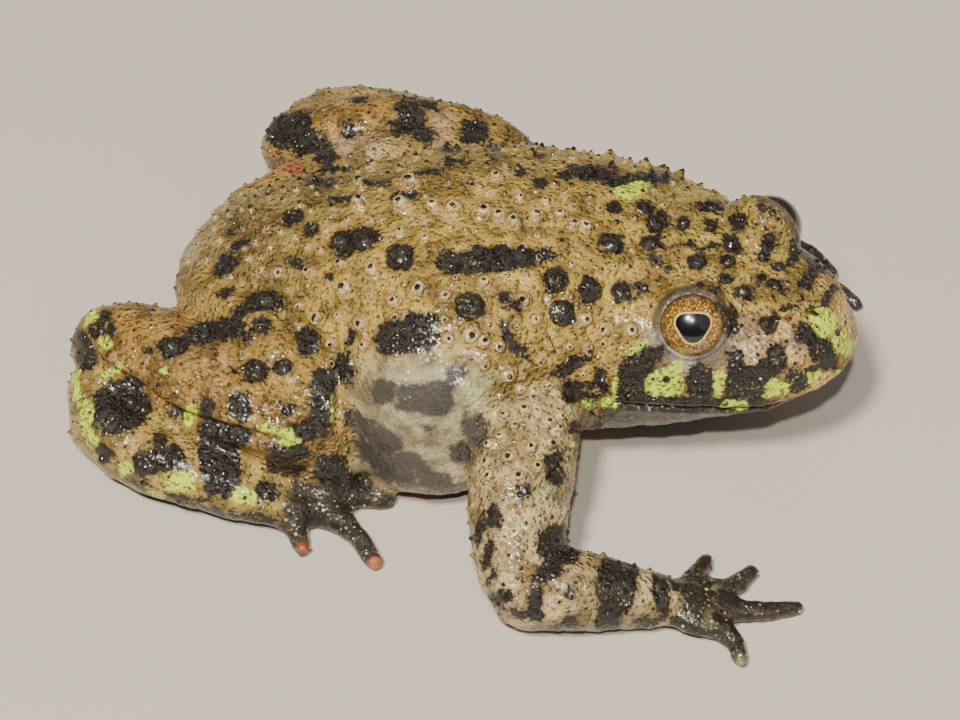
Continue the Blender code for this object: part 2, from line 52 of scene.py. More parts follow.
# The viewpoint, and how it maps the model to a picture of 960 by 720
VIEW_AZIMUTH = math.radians(16)
VIEW_ELEVATION = math.radians(48)
VIEW_DISTANCE = 240 * MM
PICTURE = (960, 720)
FOCAL_PIXELS = 3696.0
SENSOR_MM = 36.0
PIXELS_PER_MM = 15.9  # at the height of the back

# The head's own frame: its origin is midway between the eyes
HEAD_CENTRE = Vector((15.85, 1.18, 11.5)) * MM
HEAD_HEADING = math.radians(-16.5)
EYE_OUT = 4.82 * MM
EYE_RADIUS = 2.08 * MM
EYE_YAW = math.radians(58)
EYE_LIFT = math.radians(36)
SIDES = {"right": -1, "left": 1}
LID_EDGE = math.radians(69)  # from the gaze to the edge of the lids
LID_WIDTH = math.radians(13)  # past the edge, where the lid is thickest
LID_FADE = math.radians(35)
LID_THICKNESS = 0.3 * MM
SOCKET_RADIUS = 1.85 * MM
# How far from the eye's centre the skin is cut finer, shaped into lids and toned as lid
LID_CUT_REACH = 3.2 * MM
LID_REACH = 3.6 * MM
LID_TONE_REACH = 3.4 * MM

# The line between the lips in mm ahead of and above the head's centre, from the corner to the snout
MOUTH_LINE = ((-4.2, -4.7), (-2.6, -4.4), (0, -4.5), (3.5, -4.7), (6.0, -4.6), (8.0, -4.2), (12.0, -3.2))
MOUTH_CORNER = -3.0
MOUTH_REACH = 14  # the lips end this far ahead, past the snout
GROOVE_DEPTH = 0.3 * MM
GROOVE_WIDTH = 0.16  # in mm, as the lips' place and width are
LIP_SWELL = 0.09 * MM
LIP_PLACE = 0.45  # the middle of each lip's swelling, off the line
LIP_WIDTH = 0.22
NOSTRILS = ((790, 318), (816, 311))
NOSTRIL_RADIUS = 0.24 * MM
NOSTRIL_DEPTH = 0.4 * MM

# How the segments become one skin
MERGE_DISTANCE = 0.002 * MM
SEGMENT_VOXEL = 0.42 * MM  # evens out the warty segments, which carry large domes
SMOOTHING_LOSS = 0.1 * MM  # what smoothing takes off them
SWELL = 0.2 * MM  # closes the thin gaps between segments before they are fused
SHRINK_BACK = 0.9  # of the swell, once they are fused
SKIN_VOXEL = 0.285 * MM
FLOOR_GAP = 0.02 * MM  # keeps the skin off the floor
LUMPS = (("lumps", 1.5, 0.30), ("ripples", 0.55, 0.17))  # name, size in mm, strength in mm
FLESH = sorted(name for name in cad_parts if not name.startswith("eye_"))
LIMBS = ("thigh", "shank", "upper_arm", "forearm")
WARTY = [name for name in FLESH if name.startswith(("torso", *LIMBS))]

# Tones of the living skin
BACK_TAN = (0.46, 0.31, 0.055)
# painted shade for the far side of the back
FAR_BACK_SHADE_OLIVE = (0.31, 0.225, 0.045)
HEAD_TAN = (0.42, 0.29, 0.055)
SNOUT_ORANGE = (0.68, 0.43, 0.12)
FLANK_GREY = (0.37, 0.31, 0.18)
LIMB_OCHRE = (0.34, 0.215, 0.038)
SHANK_BROWN = (0.33, 0.185, 0.034)
ARM_PALE = (0.52, 0.40, 0.19)
DIGIT_DARK = (0.030, 0.024, 0.018)
TARSUS_TAN = (0.44, 0.31, 0.07)
# darker tone of the rump, partly painted shade
RUMP_OLIVE_AND_SHADE = (0.20, 0.15, 0.042)
# painted shade under the jaw's corner
NECK_SHADE_BROWN = (0.17, 0.11, 0.04)
SHOULDER_GOLD = (0.62, 0.41, 0.07)
# a pale pink, on the snout and the far leg partly painted highlight
PALE_PINK_AND_HIGHLIGHT = (0.78, 0.56, 0.36)
LID_GREY = (0.095, 0.078, 0.050)
LID_LILAC = (0.40, 0.35, 0.35)
LIP_GREY = (0.075, 0.063, 0.050)
LIP_EDGE = (0.50, 0.22, 0.11)
BELLY_RED = (0.80, 0.12, 0.012)
TOE_RED = (0.50, 0.12, 0.05)
BLACK = (0.017, 0.012, 0.007)
BLACK_FLECK = (0.30, 0.25, 0.09)
PORE_BLACK = (0.010, 0.008, 0.005)
DUSK = (0.034, 0.026, 0.026)
GREEN = (0.55, 0.70, 0.04)
# pale olive marks, one of them a painted glint
PALE_OLIVE_AND_GLINT = (0.50, 0.47, 0.24)
PORE_PALE = (0.62, 0.47, 0.22)
MOUND_PINK = (0.60, 0.38, 0.16)
RUST = (0.36, 0.15, 0.03)
PATCH_SHADE = (0.55, 0.56, 0.50)
MOTTLE_SHADE = (0.42, 0.40, 0.32)
SPECKLE_BROWN = (0.085, 0.048, 0.012)

# The eye's tones, and the pupil's mean radius as a share of the eyeball's
IRIS_ORANGE = (0.52, 0.23, 0.035)
IRIS_GOLD = (0.76, 0.45, 0.08)
IRIS_VEIN = (0.035, 0.012, 0.004)
IRIS_RING = (0.80, 0.55, 0.16)
IRIS_RIM = (0.030, 0.018, 0.010)
PUPIL_BLACK = (0.003, 0.003, 0.004)
PUPIL_RADIUS = 0.485

# Marks as (x, y, length, width) in pixels, with a turn in degrees anticlockwise where they slant
BODY_MARKS = (
    (486, 261, 106, 24, 3), (545, 254, 40, 10, 5), (394, 338, 38, 34), (421, 331, 38, 38),
    (408, 344, 40, 20), (400, 257, 27, 28), (355, 241, 50, 24, 10), (343, 255, 18, 10),
    (506, 299, 14, 22, 30), (518, 305, 10, 14), (555, 281, 25, 30), (562, 313, 27, 28),
    (470, 306, 31, 26), (588, 290, 18, 30), (622, 292, 20, 22), (611, 244, 26, 22),
    (650, 244, 28, 14), (614, 207, 14, 13), (646, 208, 20, 14, -20), (658, 223, 20, 22),
    (592, 173, 52, 16, -6), (616, 182, 30, 14), (650, 178, 44, 12), (563, 175, 12, 12),
    (507, 334, 12, 22, 5), (518, 350, 26, 14, -40), (572, 364, 40, 15, 25), (590, 356, 14, 10, 30),
    (572, 391, 22, 24), (589, 398, 14, 14), (344, 367, 20, 34), (351, 338, 10, 16, -20),
    (224, 265, 28, 18, 40), (265, 300, 34, 20, 5), (260, 325, 22, 20), (292, 218, 26, 16, 20),
    (601, 376, 12, 14), (240, 245, 20, 12, 30), (296, 263, 20, 12), (233, 232, 16, 8, 20),
    (375, 184, 30, 8), (406, 196, 26, 6), (540, 155, 18, 6), (498, 158, 16, 6), (470, 184, 8, 8),
    (430, 172, 24, 6, 10), (455, 162, 30, 8), (520, 172, 14, 8), (340, 200, 26, 8, 10),
    (310, 232, 16, 12), (330, 276, 10, 8), (540, 183, 16, 8, -10),
)
FLANK_AREA = ((418, 425, 170, 180),)
FLANK_MARKS = (
    (383, 392, 27, 27), (424, 399, 64, 34, -6), (440, 390, 40, 20, 20), (457, 372, 26, 18, 30),
    (362, 425, 40, 22, -35), (384, 440, 44, 24, -30), (374, 456, 60, 22, -30),
    (412, 462, 46, 20, -25), (432, 480, 56, 20, -18), (398, 474, 50, 24, -22), (476, 430, 26, 40, 15),
    (461, 452, 24, 24), (428, 429, 12, 8), (352, 414, 20, 14),
)
HEAD_MARKS = (
    (712, 206, 28, 14), (684, 222, 14, 16), (711, 226, 13, 13), (697, 262, 18, 20, -40),
    (732, 243, 18, 22, 20), (727, 262, 16, 16), (725, 279, 14, 11), (744, 292, 19, 14, -10),
    (777, 286, 24, 11, -25), (762, 208, 12, 10, -60), (738, 222, 18, 16, 30), (768, 243, 14, 26, -15),
    (763, 257, 14, 9), (761, 277, 11, 10), (779, 266, 14, 10, 20), (795, 250, 11, 26, -5),
    (807, 280, 14, 24, -30), (826, 300, 10, 34, -35), (815, 312, 16, 12, 15), (768, 325, 20, 20),
    (784, 309, 34, 6, 12), (776, 316, 10, 10), (806, 334, 22, 22), (820, 350, 26, 30, 30),
    (828, 362, 22, 18), (777, 360, 20, 34), (733, 356, 26, 24, 10), (837, 333, 8, 14),
    (660, 262, 30, 8, -35), (641, 290, 12, 20, -20), (715, 290, 14, 8, -30), (688, 246, 24, 6, -10),
    (702, 249, 10, 8), (712, 246, 8, 6), (665, 276, 12, 8, -30), (700, 285, 10, 8),
    (730, 320, 18, 30, 5), (717, 306, 8, 12, -30), (800, 300, 12, 8, 20), (773, 214, 8, 8),
    (752, 300, 10, 6),
)
LIP_MARKS = (
    (626, 378, 24, 44, -20), (650, 352, 34, 22, -15), (640, 362, 28, 20, -30), (634, 398, 44, 20),
    (666, 379, 9, 11), (700, 383, 30, 42), (743, 382, 40, 32), (760, 370, 16, 16),
    (797, 381, 24, 22, 20), (604, 388, 10, 18), (660, 406, 90, 12, -4), (592, 386, 8, 10),
    (815, 370, 20, 12, 25), (631, 386, 36, 42), (692, 402, 160, 13, -4), (701, 382, 34, 40),
    (746, 383, 52, 40), (766, 368, 24, 22), (600, 376, 14, 22, 10),
)
# Black marks of the near leg; those along the lower edge of the shank and foot, at (104, 453), (140, 484),
# (176, 498), (128, 492), (190, 508) and (255, 519), are partly painted shade
LEG_MARKS_AND_EDGE_SHADE = (
    (213, 332, 56, 22, 12), (228, 326, 36, 18), (245, 336, 14, 10), (172, 347, 34, 20, 12),
    (148, 302, 32, 14, 15), (107, 300, 12, 10), (255, 371, 28, 22), (284, 368, 20, 16),
    (307, 342, 24, 28), (323, 384, 26, 34), (322, 408, 26, 60, -4), (301, 432, 28, 22),
    (289, 410, 14, 14), (207, 410, 15, 24), (239, 407, 24, 30), (220, 460, 42, 78, 4),
    (236, 436, 30, 24, 30), (214, 430, 30, 20), (121, 405, 58, 54, 25), (112, 415, 40, 36),
    (146, 463, 28, 26), (172, 458, 30, 26), (161, 443, 15, 22), (160, 456, 24, 16),
    (280, 460, 28, 28, -20), (298, 452, 22, 18), (294, 470, 22, 12), (331, 470, 34, 34),
    (266, 492, 26, 18), (309, 522, 28, 32), (352, 492, 40, 36), (340, 506, 38, 26, -20),
    (86, 358, 20, 26), (97, 330, 20, 18), (178, 413, 26, 10, -25), (104, 453, 14, 24, 35),
    (140, 484, 26, 10, -25), (176, 498, 60, 8, -8), (88, 430, 12, 16), (111, 330, 8, 16),
    (232, 372, 6, 6), (181, 363, 8, 6), (150, 352, 8, 6), (268, 447, 12, 8), (84, 345, 18, 30, 15),
    (128, 492, 44, 12, -28), (190, 508, 76, 14, -12), (255, 519, 60, 12, -10), (106, 318, 12, 14),
    (246, 310, 26, 14, 20), (226, 292, 16, 10, 30), (96, 468, 16, 20, -40),
)
FAR_LEG_MARKS = (
    (285, 132, 36, 36), (312, 146, 40, 34, -35), (326, 155, 24, 18), (300, 122, 24, 22),
    (350, 131, 15, 17), (410, 116, 30, 40, 20), (424, 134, 24, 18, -20), (474, 132, 28, 26),
    (362, 100, 20, 8), (330, 170, 40, 10), (318, 182, 34, 8), (395, 130, 12, 20, 20),
    (430, 104, 20, 10, -10), (448, 150, 22, 8, -10), (494, 146, 16, 12),
)
ARM_MARKS = (
    (560, 544, 44, 42), (548, 571, 28, 22, 20), (535, 602, 17, 42), (617, 582, 42, 62, -8),
    (609, 620, 30, 28), (612, 556, 22, 24), (661, 592, 17, 54, 5), (684, 578, 32, 26),
    (695, 602, 22, 40, 10), (684, 622, 32, 12), (500, 597, 22, 16, 20), (572, 594, 14, 12),
    (570, 622, 14, 14), (524, 490, 15, 12), (554, 468, 19, 34), (494, 518, 16, 24),
    (480, 528, 10, 44, -18), (488, 556, 12, 28, -10), (492, 578, 10, 14), (585, 440, 28, 36, 40),
    (574, 428, 16, 14), (516, 612, 40, 8, -20), (645, 622, 22, 12), (553, 628, 20, 8),
    (519, 497, 8, 8), (540, 530, 8, 6),
)
DIGIT_MARKS = (
    (728, 575, 40, 18, 12), (700, 562, 50, 14, -6), (738, 600, 50, 20), (775, 604, 48, 18),
    (741, 636, 15, 42, 20), (722, 620, 24, 10, -20), (705, 590, 14, 30), (378, 545, 17, 28, 10),
    (369, 517, 16, 14), (350, 500, 46, 24), (712, 578, 16, 12), (840, 278, 44, 26, -25),
    (820, 262, 30, 20, -25), (304, 500, 24, 10),
)
GREEN_MARKS = (
    (663, 383, 36, 17, 5), (680, 371, 11, 22), (664, 392, 30, 7), (719, 382, 15, 26, -15),
    (774, 388, 28, 15, 15), (609, 402, 13, 13), (616, 384, 8, 26, -10), (823, 322, 30, 24, -45),
    (842, 343, 16, 24, 20), (631, 190, 32, 13, 12), (289, 437, 24, 16), (182, 482, 32, 20),
    (243, 496, 24, 15), (86, 413, 15, 24), (276, 113, 10, 9), (814, 376, 14, 8, 25),
    (640, 345, 26, 7, 35), (126, 469, 14, 14), (105, 343, 14, 14), (191, 414, 12, 22),
    (331, 409, 5, 20), (77, 385, 8, 30, 5), (90, 436, 12, 24, 30), (112, 372, 20, 8, 20),
    (268, 428, 20, 10, -20), (165, 372, 8, 8), (92, 315, 10, 20, -20), (155, 494, 18, 8, -20),
    (217, 448, 10, 14), (588, 404, 10, 10), (596, 354, 5, 5),
)
# Pale marks; the one at (841, 268), on the far hand's dark finger, is a painted glint
PALE_MARKS_AND_GLINT = (
    (104, 476, 20, 26, 40), (549, 495, 26, 40, 10), (741, 661, 10, 8), (710, 617, 10, 12),
    (692, 596, 10, 12), (841, 268, 18, 8, -20), (475, 389, 34, 46), (712, 590, 6, 10),
)
RED_MARKS = ((292, 167, 24, 14, -20), (304, 548, 14, 13), (376, 564, 15, 13))
SNOUT_PINK_AND_HIGHLIGHT_MARKS = ((752, 337, 44, 38), (772, 352, 26, 30), (745, 362, 20, 24), (796, 342, 20, 30))
BLACK_MARKS_AND_SHADE = BODY_MARKS + HEAD_MARKS + LIP_MARKS + LEG_MARKS_AND_EDGE_SHADE + FAR_LEG_MARKS + ARM_MARKS + DIGIT_MARKS

# Marks are squarish ovals (2 would be a true oval), seeded blots are longer than wide by a share,
# and a point that no mark is near counts as this many mm outside
MARK_CORNERS = 2.6
BLOT_STRETCH = 0.45
FAR_OUTSIDE = -9.0

# Softly tinted areas, as (tone, share, softness in mm, marks); among them painted shade under the jaw, a
# painted glint on the far finger and partly painted highlight on the snout and the far leg
TINTS_AND_PAINTED_LIGHT = (
    (LIP_GREY, 0.9, 0.35, ((700, 413, 200, 16, 7), (625, 424, 70, 12, 2))),
    # painted shade: a dark brown patch under the jaw's corner, where the head shades the neck
    (NECK_SHADE_BROWN, 0.8, 0.5, ((600, 432, 40, 26, 30),)),
    (SHOULDER_GOLD, 0.6, 1.6, ((592, 328, 90, 80), (500, 325, 90, 60))),
    # partly the snout's own pale pink, partly painted highlight for its wet sparkle
    (PALE_PINK_AND_HIGHLIGHT, 0.8, 0.6, SNOUT_PINK_AND_HIGHLIGHT_MARKS),
    (PORE_BLACK, 1.0, 0.12, ((789, 317, 8, 5, 25), (816, 310, 7, 4, 25))),
    # pale olive marks, one of them a painted glint on the far finger
    (PALE_OLIVE_AND_GLINT, 0.85, 0.4, PALE_MARKS_AND_GLINT),
    # partly the far leg's cream tone, partly painted highlight for its gloss
    (PALE_PINK_AND_HIGHLIGHT, 0.5, 0.6, ((365, 147, 60, 26), (440, 130, 20, 30))),
    (PALE_PINK_AND_HIGHLIGHT, 0.5, 0.3, ((458, 478, 14, 30, 10), (415, 494, 60, 5, -5))),
    (TOE_RED, 1.0, 0.1, RED_MARKS),
)

# Round black warts and pale warts with a dark pore, as (x, y, radius) in pixels
BLACK_WARTS = (
    (399, 257, 13), (470, 306, 14), (561, 313, 13), (620, 293, 10), (590, 291, 12), (557, 281, 12),
    (609, 244, 12), (614, 207, 7), (655, 223, 10), (643, 208, 8), (683, 223, 7), (711, 226, 6),
    (732, 244, 8), (727, 261, 8), (697, 262, 9), (649, 244, 10), (744, 292, 7), (762, 277, 5),
    (764, 256, 6), (769, 239, 6), (780, 266, 6), (795, 251, 5), (815, 312, 6), (713, 206, 8),
    (741, 222, 6), (725, 279, 6), (341, 240, 11), (363, 240, 11), (777, 286, 5), (588, 170, 8),
    (603, 174, 8), (575, 175, 7), (616, 181, 7), (255, 371, 12), (285, 368, 9), (265, 299, 10),
    (202, 332, 12), (172, 346, 9), (768, 325, 8), (666, 379, 4), (837, 333, 4),
)
PORE_WARTS = (
    (479, 251, 9), (500, 250, 9), (522, 251, 9), (538, 259, 7), (433, 206, 8), (454, 208, 10),
    (481, 212, 11), (500, 216, 9), (513, 223, 9), (537, 216, 9), (572, 224, 9), (585, 225, 9),
    (360, 204, 11), (403, 206, 12), (394, 301, 8), (418, 290, 10), (508, 300, 9), (523, 301, 9),
    (345, 291, 11), (470, 334, 11), (483, 341, 8), (498, 345, 8), (540, 361, 8), (507, 374, 10),
    (603, 330, 9), (630, 331, 8), (584, 319, 8), (535, 319, 8), (589, 351, 8), (484, 282, 7),
    (445, 296, 7), (410, 185, 12), (360, 185, 10), (495, 178, 9), (520, 200, 7), (560, 214, 8),
    (425, 240, 6), (400, 233, 7), (372, 272, 9), (340, 264, 7), (320, 320, 9), (360, 323, 9),
    (396, 320, 7), (407, 317, 7), (448, 340, 7), (550, 345, 7), (605, 342, 6), (632, 352, 5),
    (640, 346, 5), (620, 388, 5), (618, 372, 5), (602, 380, 6), (588, 404, 8), (609, 402, 6),
    (506, 375, 7), (521, 389, 7), (547, 387, 7), (560, 415, 6), (547, 421, 8), (557, 430, 7),
    (501, 436, 7), (530, 445, 8), (550, 442, 7), (491, 445, 7), (486, 462, 7), (509, 457, 8),
    (539, 466, 7), (489, 476, 8), (517, 477, 8), (505, 415, 7), (525, 412, 8), (535, 400, 6),
    (517, 427, 6), (573, 445, 5), (528, 500, 6), (565, 512, 6), (700, 392, 4), (745, 362, 6),
    (778, 362, 6), (770, 345, 5),
)

# Folds of the skin, as (depth and width in mm, line of pixels), each stretch of line taken in steps
CREASE_STEPS = 12
CREASES = (
    (0.26, 0.16, ((543, 292), (546, 318), (552, 345), (557, 372), (568, 396))),
    (0.34, 0.20, ((329, 318), (335, 345), (338, 372), (340, 400), (336, 428))),
    (0.26, 0.16, ((468, 408), (464, 440), (462, 470))),
    (0.20, 0.16, ((520, 366), (540, 384), (560, 400))),
    (0.20, 0.16, ((598, 418), (590, 436), (576, 458))),
    (0.55, 0.30, ((108, 368), (128, 380), (147, 392), (167, 407), (197, 420), (237, 431), (283, 443))),
    (0.24, 0.16, ((300, 300), (318, 296), (328, 318))),
)

# How far each eye's lid droops over it, and the turn of its rim where it droops most
DROOP = {"right": 0.0, "left": math.radians(31)}
DROOP_TURN = math.radians(128)

# Kinds of wart: sides, height over radius, what the finish knows it by, and the rings of its bell,
# each as (share of the radius, share of the height)
PORE_BELL = ((0.80, 0.16), (0.56, 0.50), (0.37, 0.88), (0.24, 0.92), (0.10, 0.70))
BLACK_BELL = ((0.94, 0.30), (0.78, 0.62), (0.52, 0.88), (0.24, 1.0))
TIP_BELL = ((0.68, 0.30), (0.36, 0.78), (0.13, 1.06))
CONE_BELL = ((0.78, 0.20), (0.50, 0.56), (0.27, 0.90), (0.10, 1.10))
WART_KINDS = {
    "pore": (10, 0.72, 0.0, PORE_BELL),
    "black": (16, 0.58, 1.0, BLACK_BELL),
    "tip": (7, 0.62, 0.3, TIP_BELL),
    "cone": (9, 0.85, 0.4, CONE_BELL),
    "pale": (7, 0.5, -1.0, TIP_BELL),
}

# How unevenly warts grow, as shares of their size, and how deep their root and rim sit in the skin in mm
WART_LEAN = 0.22
WART_WOBBLE = 0.1
WART_KNOBS = 0.16
WART_ROOT = 0.1
WART_SEAT = 0.02

# Where toes begin, in mm ahead of the origin, and flesh that fills the fold between thigh, flank and foot
TOE_BASE = -7.4
FOLD_FILLS = (((-6.6, -12.4, 2.4), 2.5), ((-8.2, -12.0, 3.4), 2.2))


def pick(*objects):
    """Selects only these objects, the first one active."""
    bpy.ops.object.select_all(action="DESELECT")
    for obj in objects:
        obj.select_set(True)
    bpy.context.view_layer.objects.active = objects[0]


def add_modifier(obj, kind, **settings):
    """Adds a modifier and applies it."""
    pick(obj)
    modifier = obj.modifiers.new(kind.lower(), kind)
    for key, value in settings.items():
        setattr(modifier, key, value)
    bpy.ops.object.modifier_apply(modifier=modifier.name)


def join(name, parts):
    """Joins parts into one named piece, bare of materials."""
    pick(*parts)
    bpy.ops.object.join()
    piece = bpy.context.object
    piece.name = piece.data.name = name
    piece.data.materials.clear()
    return piece


def read_points(mesh):
    points = np.empty(len(mesh.vertices) * 3)
    mesh.vertices.foreach_get("co", points)
    return points.reshape(-1, 3)


def read_normals(mesh):
    normals = np.empty(len(mesh.vertices) * 3)
    mesh.vertices.foreach_get("normal", normals)
    return normals.reshape(-1, 3)


def write_points(mesh, points):
    mesh.vertices.foreach_set("co", points.ravel())
    mesh.update()


def write_values(mesh, name, values):
    values = np.asarray(values, dtype=np.float32)
    if values.ndim == 1:
        mesh.attributes.new(name, "FLOAT", "POINT").data.foreach_set("value", values)
    else:
        mesh.attributes.new(name, "FLOAT_VECTOR", "POINT").data.foreach_set("vector", values.ravel())


def ease(values, low, high):
    """0 below low, 1 above high, smooth between."""
    t = np.clip((values - low) / (high - low), 0, 1)
    return t * t * (3 - 2 * t)


def blend(base, colour, share):
    """Blends rows of colours towards one colour."""
    return base + (np.array(colour) - base) * share[:, None]


def head_place(ahead, left, up):
    """A place given from the head's centre, square to the head."""
    c, s = math.cos(HEAD_HEADING), math.sin(HEAD_HEADING)
    return HEAD_CENTRE + Vector((ahead * c - left * s, ahead * s + left * c, up))


def head_measures(points):
    """Millimetres ahead of, left of and above the head's centre."""
    c, s = math.cos(HEAD_HEADING), math.sin(HEAD_HEADING)
    offset = (points - np.array(HEAD_CENTRE)) / MM
    return offset[:, 0] * c + offset[:, 1] * s, offset[:, 1] * c - offset[:, 0] * s, offset[:, 2]


def gaze(side):
    """The direction an eye looks in: side is -1 for the right eye and 1 for the left."""
    turn = HEAD_HEADING + side * EYE_YAW
    flat = math.cos(EYE_LIFT)
    return Vector((math.cos(turn) * flat, math.sin(turn) * flat, math.sin(EYE_LIFT)))


def eye_axes(side):
    """The eye's right and up as seen from in front of it, square to its gaze."""
    look = gaze(side)
    right = Vector((0, 0, 1)).cross(look).normalized()
    return np.array(right), np.array(look.cross(right))


def eye_centre(side):
    return head_place(0, side * EYE_OUT, 0)


class Viewpoint:
    """The picture's viewpoint: turns places into pixels and pixels into places on the skin."""

    def __init__(self):
        level = math.cos(VIEW_ELEVATION)
        ahead, beside = math.sin(VIEW_AZIMUTH) * level, -math.cos(VIEW_AZIMUTH) * level
        towards = Vector((ahead, beside, math.sin(VIEW_ELEVATION)))
        self.place = towards * VIEW_DISTANCE
        self.ahead = -towards
        self.right = Vector((math.cos(VIEW_AZIMUTH), math.sin(VIEW_AZIMUTH), 0))
        self.up = self.right.cross(self.ahead)
        self.skin = None

    def pixels(self, points):
        """Where the viewpoint sees each place."""
        offset = points - np.array(self.place)
        depth = offset @ np.array(self.ahead)
        across = FOCAL_PIXELS * (offset @ np.array(self.right)) / depth
        rise = FOCAL_PIXELS * (offset @ np.array(self.up)) / depth
        return PICTURE[0] / 2 + across, PICTURE[1] / 2 - rise

    def hit(self, x, y):
        """The place on the skin that the viewpoint sees at a pixel."""
        across = (x - PICTURE[0] / 2) / FOCAL_PIXELS
        rise = (PICTURE[1] / 2 - y) / FOCAL_PIXELS
        ray = (self.ahead + self.right * across + self.up * rise).normalized()
        return self.skin.ray_cast(self.place, ray)[0]


view = Viewpoint()


# The body as one skin


def copy_node(name):
    """A merged copy of a CAD node, free of its parent."""
    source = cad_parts[name]
    obj = bpy.data.objects.new("copy_" + name, source.data.copy())
    bpy.context.scene.collection.objects.link(obj)
    pick(obj)
    bpy.ops.object.mode_set(mode="EDIT")
    bpy.ops.mesh.select_all(action="SELECT")
    bpy.ops.mesh.remove_doubles(threshold=MERGE_DISTANCE)
    bpy.ops.object.mode_set(mode="OBJECT")
    return obj


def fused_body():
    """All the flesh and the eyeballs as one closed skin of even squares."""
    parts = []
    for name in FLESH + ["eye_left", "eye_right"]:
        part = copy_node(name)
        if name in WARTY:
            add_modifier(part, "REMESH", mode="VOXEL", voxel_size=SEGMENT_VOXEL)
            add_modifier(part, "SMOOTH", factor=0.6, iterations=14)
            add_modifier(part, "DISPLACE", strength=SMOOTHING_LOSS, mid_level=0)
        parts.append(part)
    for place, radius in FOLD_FILLS:
        bpy.ops.mesh.primitive_uv_sphere_add(
            segments=24, ring_count=16, radius=radius * MM, location=Vector(place) * MM
        )
        bpy.ops.object.transform_apply(location=True)
        parts.append(bpy.context.object)
    skin = join("skin", parts)
    add_modifier(skin, "DISPLACE", strength=SWELL, mid_level=0)
    add_modifier(skin, "REMESH", mode="VOXEL", voxel_size=SKIN_VOXEL)
    add_modifier(skin, "SMOOTH", factor=0.5, iterations=5)
    add_modifier(skin, "DISPLACE", strength=-SWELL * SHRINK_BACK, mid_level=0)
    return skin


def knead(skin):
    """Gives the skin soft uneven lumps, as flesh has under it."""
    for name, size, strength in LUMPS:
        texture = bpy.data.textures.new(name, "CLOUDS")
        texture.noise_scale = size * MM
        texture.noise_depth = 2
        settings = {"mid_level": 0.5, "texture": texture, "texture_coords": "LOCAL"}
        add_modifier(skin, "DISPLACE", strength=strength * MM, **settings)


def refine(skin, chosen, cuts):
    """Cuts the chosen faces finer."""
    pick(skin)
    bpy.ops.object.mode_set(mode="EDIT")
    bpy.ops.mesh.select_mode(type="FACE")
    bpy.ops.mesh.select_all(action="DESELECT")
    bpy.ops.object.mode_set(mode="OBJECT")
    skin.data.polygons.foreach_set("select", chosen)
    bpy.ops.object.mode_set(mode="EDIT")
    bpy.ops.mesh.subdivide(number_cuts=cuts, smoothness=0)
    bpy.ops.object.mode_set(mode="OBJECT")


def face_centres(mesh):
    centres = np.empty(len(mesh.polygons) * 3)
    mesh.polygons.foreach_get("center", centres)
    return centres.reshape(-1, 3)


def mouth_gap(points):
    """Height over the mouth's line in mm, and how much of the line is open at each point."""
    ahead, _, up = head_measures(points)
    line = np.array(MOUTH_LINE)
    above = up - np.interp(ahead, line[:, 0], line[:, 1])
    return above, ease(ahead, MOUTH_CORNER - 0.4, MOUTH_CORNER + 0.6)


def eye_polar(points, name):
    """Offset and distance from the eye's centre, and how far past the lids' edge in radians."""
    side = SIDES[name]
    offset = points - np.array(eye_centre(side))
    reach = np.linalg.norm(offset, axis=1)
    lean = np.arccos(np.clip(offset @ np.array(gaze(side)) / reach, -1, 1))
    right, up = eye_axes(side)
    turn = np.arctan2(offset @ up, offset @ right)
    droop = DROOP[name] * np.maximum(np.cos(turn - DROOP_TURN), 0)
    return offset, reach, lean - LID_EDGE + droop


def shape_lids(skin):
    """Sinks the skin under each eyeball and raises a smooth lid round it."""
    for name in SIDES:
        _, reach, past = eye_polar(face_centres(skin.data), name)
        refine(skin, (reach < LID_CUT_REACH) & (past > -0.2) & (past < 0.5), 3)
    points = read_points(skin.data)
    for name in SIDES:
        offset, reach, past = eye_polar(points, name)
        covered = ease(past, -0.03, 0.03)
        lid = EYE_RADIUS + LID_THICKNESS * (0.4 + 0.6 * ease(past, 0, LID_WIDTH))
        keep = ease(past, LID_WIDTH, LID_FADE)
        goal = lid * (1 - keep) + np.maximum(reach, lid) * keep
        goal = goal * covered + SOCKET_RADIUS * (1 - covered)
        near = (reach < LID_REACH) & (past < LID_FADE)
        points[near] += offset[near] * (goal / reach - 1)[near, None]
    write_points(skin.data, points)


def carve_mouth(skin):
    """Presses the line between the lips in and swells the lips beside it."""
    centres = face_centres(skin.data)
    above, share = mouth_gap(centres)
    refine(skin, (np.abs(above) < 0.6) & (share > 0) & (head_measures(centres)[0] < MOUTH_REACH), 2)
    points, normals = read_points(skin.data), read_normals(skin.data)
    above, share = mouth_gap(points)
    groove = np.exp(-(above / GROOVE_WIDTH) ** 2) * GROOVE_DEPTH
    lips = np.exp(-((np.abs(above) - LIP_PLACE) / LIP_WIDTH) ** 2) * LIP_SWELL
    points += normals * ((lips - groove) * share)[:, None]
    write_points(skin.data, points)


def carve_nostrils(skin):
    """Sinks two pits with a low rim."""
    for x, y in NOSTRILS:
        hit = np.array(view.hit(x, y))
        gap = np.linalg.norm(face_centres(skin.data) - hit, axis=1)
        refine(skin, gap < 3 * NOSTRIL_RADIUS, 3)
        points, normals = read_points(skin.data), read_normals(skin.data)
        gap = np.linalg.norm(points - hit, axis=1)
        pit = np.exp(-(gap / NOSTRIL_RADIUS) ** 2) * NOSTRIL_DEPTH
        rim = np.exp(-((gap - 2 * NOSTRIL_RADIUS) / NOSTRIL_RADIUS) ** 2) * 0.25 * NOSTRIL_DEPTH
        centre = normals[gap < 2 * NOSTRIL_RADIUS].mean(axis=0)
        points += centre * (rim - pit)[:, None]
        write_points(skin.data, points)


